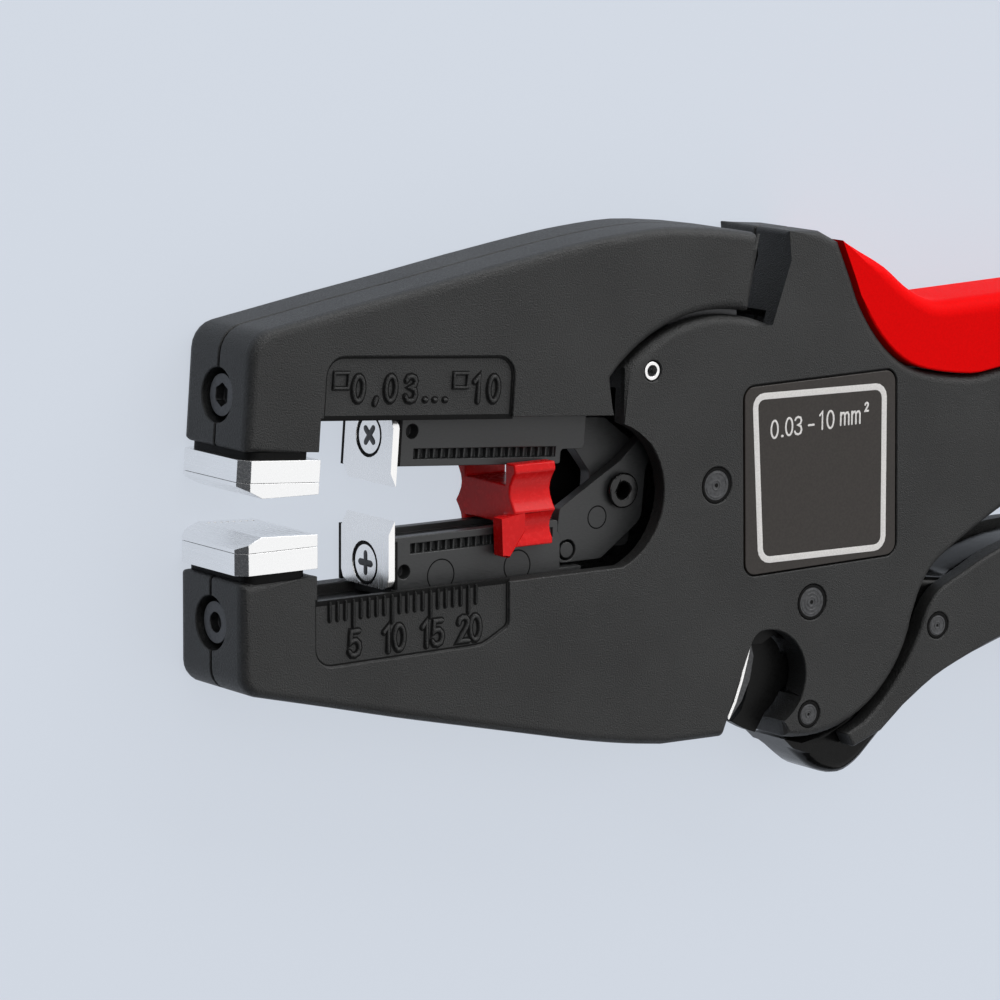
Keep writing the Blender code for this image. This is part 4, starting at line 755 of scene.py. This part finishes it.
# Blades and bright steel parts: ground steel with fine scratches, also on the blade screws, the
# spring pin, the springs, the swing arm and the lever's inner arm.
GROUND_WIDTH = 0.42
GROUND_RISE = 0.06
steel, shader, where = new_finish("ground_steel", Metallic=1.0)
scratch = where.stretched(1.0, 0.04, 1.0).noise(9000.0, 2.0)
feed(shader,
     Base_Color=scratch.between(0.2, 0.8).blend((0.95, 0.94, 0.93, 1.0), (1.0, 0.99, 0.98, 1.0)),
     Roughness=scratch.between(0.2, 0.8, 0.20, 0.32),
     Normal=relief(scratch, 0.000003))
ground = [bead(GROUND_EDGE, GROUND_WIDTH, GROUND_RISE, CUTTER_FACE)]
place("cutter_ground_edge", joined("cutter_ground_edge", ground), lever_body, steel)
for node in ("lower_blade", "upper_blade", "lower_blade_screw", "upper_blade_screw", "spring_pin",
             "swing_arm", "lever_arm", "jaw_spring", "lever_spring"):
    edged(node, steel, GROUND_ROUND)

# Blade screws: a countersunk head with a cross recess stands in each blade's front face. The
# recess is a low bead of the darker blackened steel, painted shade in the cross, and a ring of
# painted shade round the head draws the shadow in its gap; thin lips of the carriers frame the
# blades in the same painted shade black, as a dark outline.
CROSS_ARM = 1.0
CROSS_WIDTH = 0.75
CROSS_RISE = 0.05
CROSS_TURN = {"lower": 0.0, "upper": 38.0}
HEAD_RADIUS = 2.15
HEAD_GAP = 0.30
LIPS = (((-58.3, -57.6), (-8.1, -2.0), (1.15, 1.72)), ((-57.5, -57.05), (-8.1, -2.9), (9.8, 10.75)))
LIP_ROUND = 0.1


def facing_mouth(skins, at_x, at_y, at_z):
    """Skins drawn on a flat face, turned to face the mouth; their x becomes z."""
    return [(np.column_stack([at_x - points[:, 2], at_y + points[:, 1], at_z + points[:, 0]]), faces)
            for points, faces in skins]


def as_drawn(skins):
    """Skins of the lower jaw left where they are."""
    return skins


SCREW_AT = (-58.2, -5.7, 6.25)
for side, carried in (("lower", as_drawn), ("upper", mirrored_up)):
    body = frame["nodes"][side + "_blade"]["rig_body"]
    turn = np.radians(CROSS_TURN[side])
    arm = np.array((np.cos(turn), np.sin(turn))) * CROSS_ARM
    across = np.array((-arm[1], arm[0]))
    cross = [bead([-way, way], CROSS_WIDTH, CROSS_RISE, 0.0) for way in (arm, across)]
    gap = [bead(ring_path(np.zeros(2), HEAD_RADIUS, 36), HEAD_GAP, CROSS_RISE, 0.0, loop=True)]
    for kind, skins, slot, finish in (("cross", cross, "dark_steel", blackened),
                                      ("gap", gap, "black_plastic", painted_shade_black)):
        name = side + "_screw_" + kind
        place(name, joined(name, carried(facing_mouth(skins, *SCREW_AT))), body, finish)
    lips = [block(*lip, LIP_ROUND) for lip in LIPS]
    place(side + "_blade_lips", joined(side + "_blade_lips", carried(lips)), body,
          painted_shade_black)

# Carriers, pull plate and pull arm: dark grey glass-filled plastic with a satin skin and the round
# marks of the mould's ejector pins, drawn as thin lines of painted shade black.
satin_grey, shader, where = new_finish("satin_grey_plastic", Specular_IOR_Level=0.5)
fibre = where.stretched(0.3, 1.0, 1.0).noise(5000.0, 3.0, 0.6)
feed(shader,
     Base_Color=fibre.between(0.3, 0.7).blend((0.026, 0.027, 0.0275, 1.0), (0.034, 0.035, 0.036, 1.0)),
     Roughness=fibre.between(0.2, 0.8, 0.36, 0.5),
     Normal=relief(fibre, 0.00002))

for node in ("lower_carrier", "upper_carrier", "pull_plate", "upper_pull_arm"):
    edged(node, satin_grey, SMALL_ROUND)
CARRIER_MARKS = ((-50.7, -7.3), (-40.5, -7.3))
CARRIER_MARK_RADIUS = 1.75
CARRIER_FACE = 9.7
PLATE_MARK = (-28.95, -3.1)
PLATE_MARK_RADIUS = 1.25
PLATE_FACE = 8.8
MARK_LINE = 0.16
MARK_RISE = 0.02


def arc_path(centre, radius, start, end, step=12.0):
    """Points along part of a circle."""
    angle = np.radians(np.arange(start, end + 0.1, step))
    return centre + radius * np.column_stack([np.cos(angle), np.sin(angle)])


slide_body = frame["nodes"]["lower_carrier"]["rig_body"]
marks = [bead(arc_path(centre, CARRIER_MARK_RADIUS, -36.0, 216.0), MARK_LINE, MARK_RISE, CARRIER_FACE)
         for centre in CARRIER_MARKS]
marks.append(bead(ring_path(PLATE_MARK, PLATE_MARK_RADIUS), MARK_LINE, MARK_RISE, PLATE_FACE, loop=True))
place("ejector_marks", joined("ejector_marks", marks), slide_body, painted_shade_black)

# Far web: a thin wall of the far housing half that closes the window behind the pull plate and
# the pull arm, in the painted shade black, as it lies in shadow there.
WEB_LIMITS = ((-31.0, -22.3), (-8.4, 7.8), (0.2, 1.9))
WEB_ROUND = 0.2
place("far_web", joined("far_web", [block(*WEB_LIMITS, WEB_ROUND)]), housing_body,
      painted_shade_black)

# Length stop: moulded in bright red plastic with a smooth skin and well rounded edges. It clips
# over the lower carrier.
STOP_ROUND = 0.2
stop_red, shader, where = new_finish("stop_red_plastic", Specular_IOR_Level=0.16)
wave = where.noise(1500.0, 2.0)
feed(shader,
     Base_Color=wave.between(0.3, 0.7).blend((0.66, 0.006, 0.007, 1.0), (0.72, 0.009, 0.010, 1.0)),
     Roughness=wave.between(0.2, 0.8, 0.22, 0.30),
     Normal=relief(wave, 0.00001))
edged("length_stop", stop_red, STOP_ROUND, steps=3)

# Lever core: the glossy black middle of the lever, which shows below the cheeks and runs into the
# housing.
gloss_black, shader, where = new_finish("gloss_black_plastic", Specular_IOR_Level=0.14)
wave = where.noise(900.0, 2.0)
feed(shader,
     Base_Color=wave.between(0.3, 0.7).blend((0.004, 0.004, 0.004, 1.0), (0.006, 0.006, 0.006, 1.0)),
     Roughness=wave.between(0.2, 0.8, 0.14, 0.24),
     Normal=relief(wave, 0.00001))
edged("lever_core", gloss_black, MOULD_ROUND)

# Soft inlays: red soft plastic along the outer side of both handles, matte and slightly grained.
SOFT_ROUND = 0.2
soft_red, shader, where = new_finish("soft_red_grip", Specular_IOR_Level=0.03)
pile = where.noise(3500.0, 3.0, 0.6)
feed(shader,
     Base_Color=pile.between(0.3, 0.7).blend((0.78, 0.0005, 0.0008, 1.0), (0.84, 0.001, 0.0015, 1.0)),
     Roughness=pile.between(0.25, 0.75, 0.48, 0.62),
     Normal=relief(pile, 0.00002))
for node in ("handle_inlay", "lever_inlay"):
    edged(node, soft_red, SOFT_ROUND)
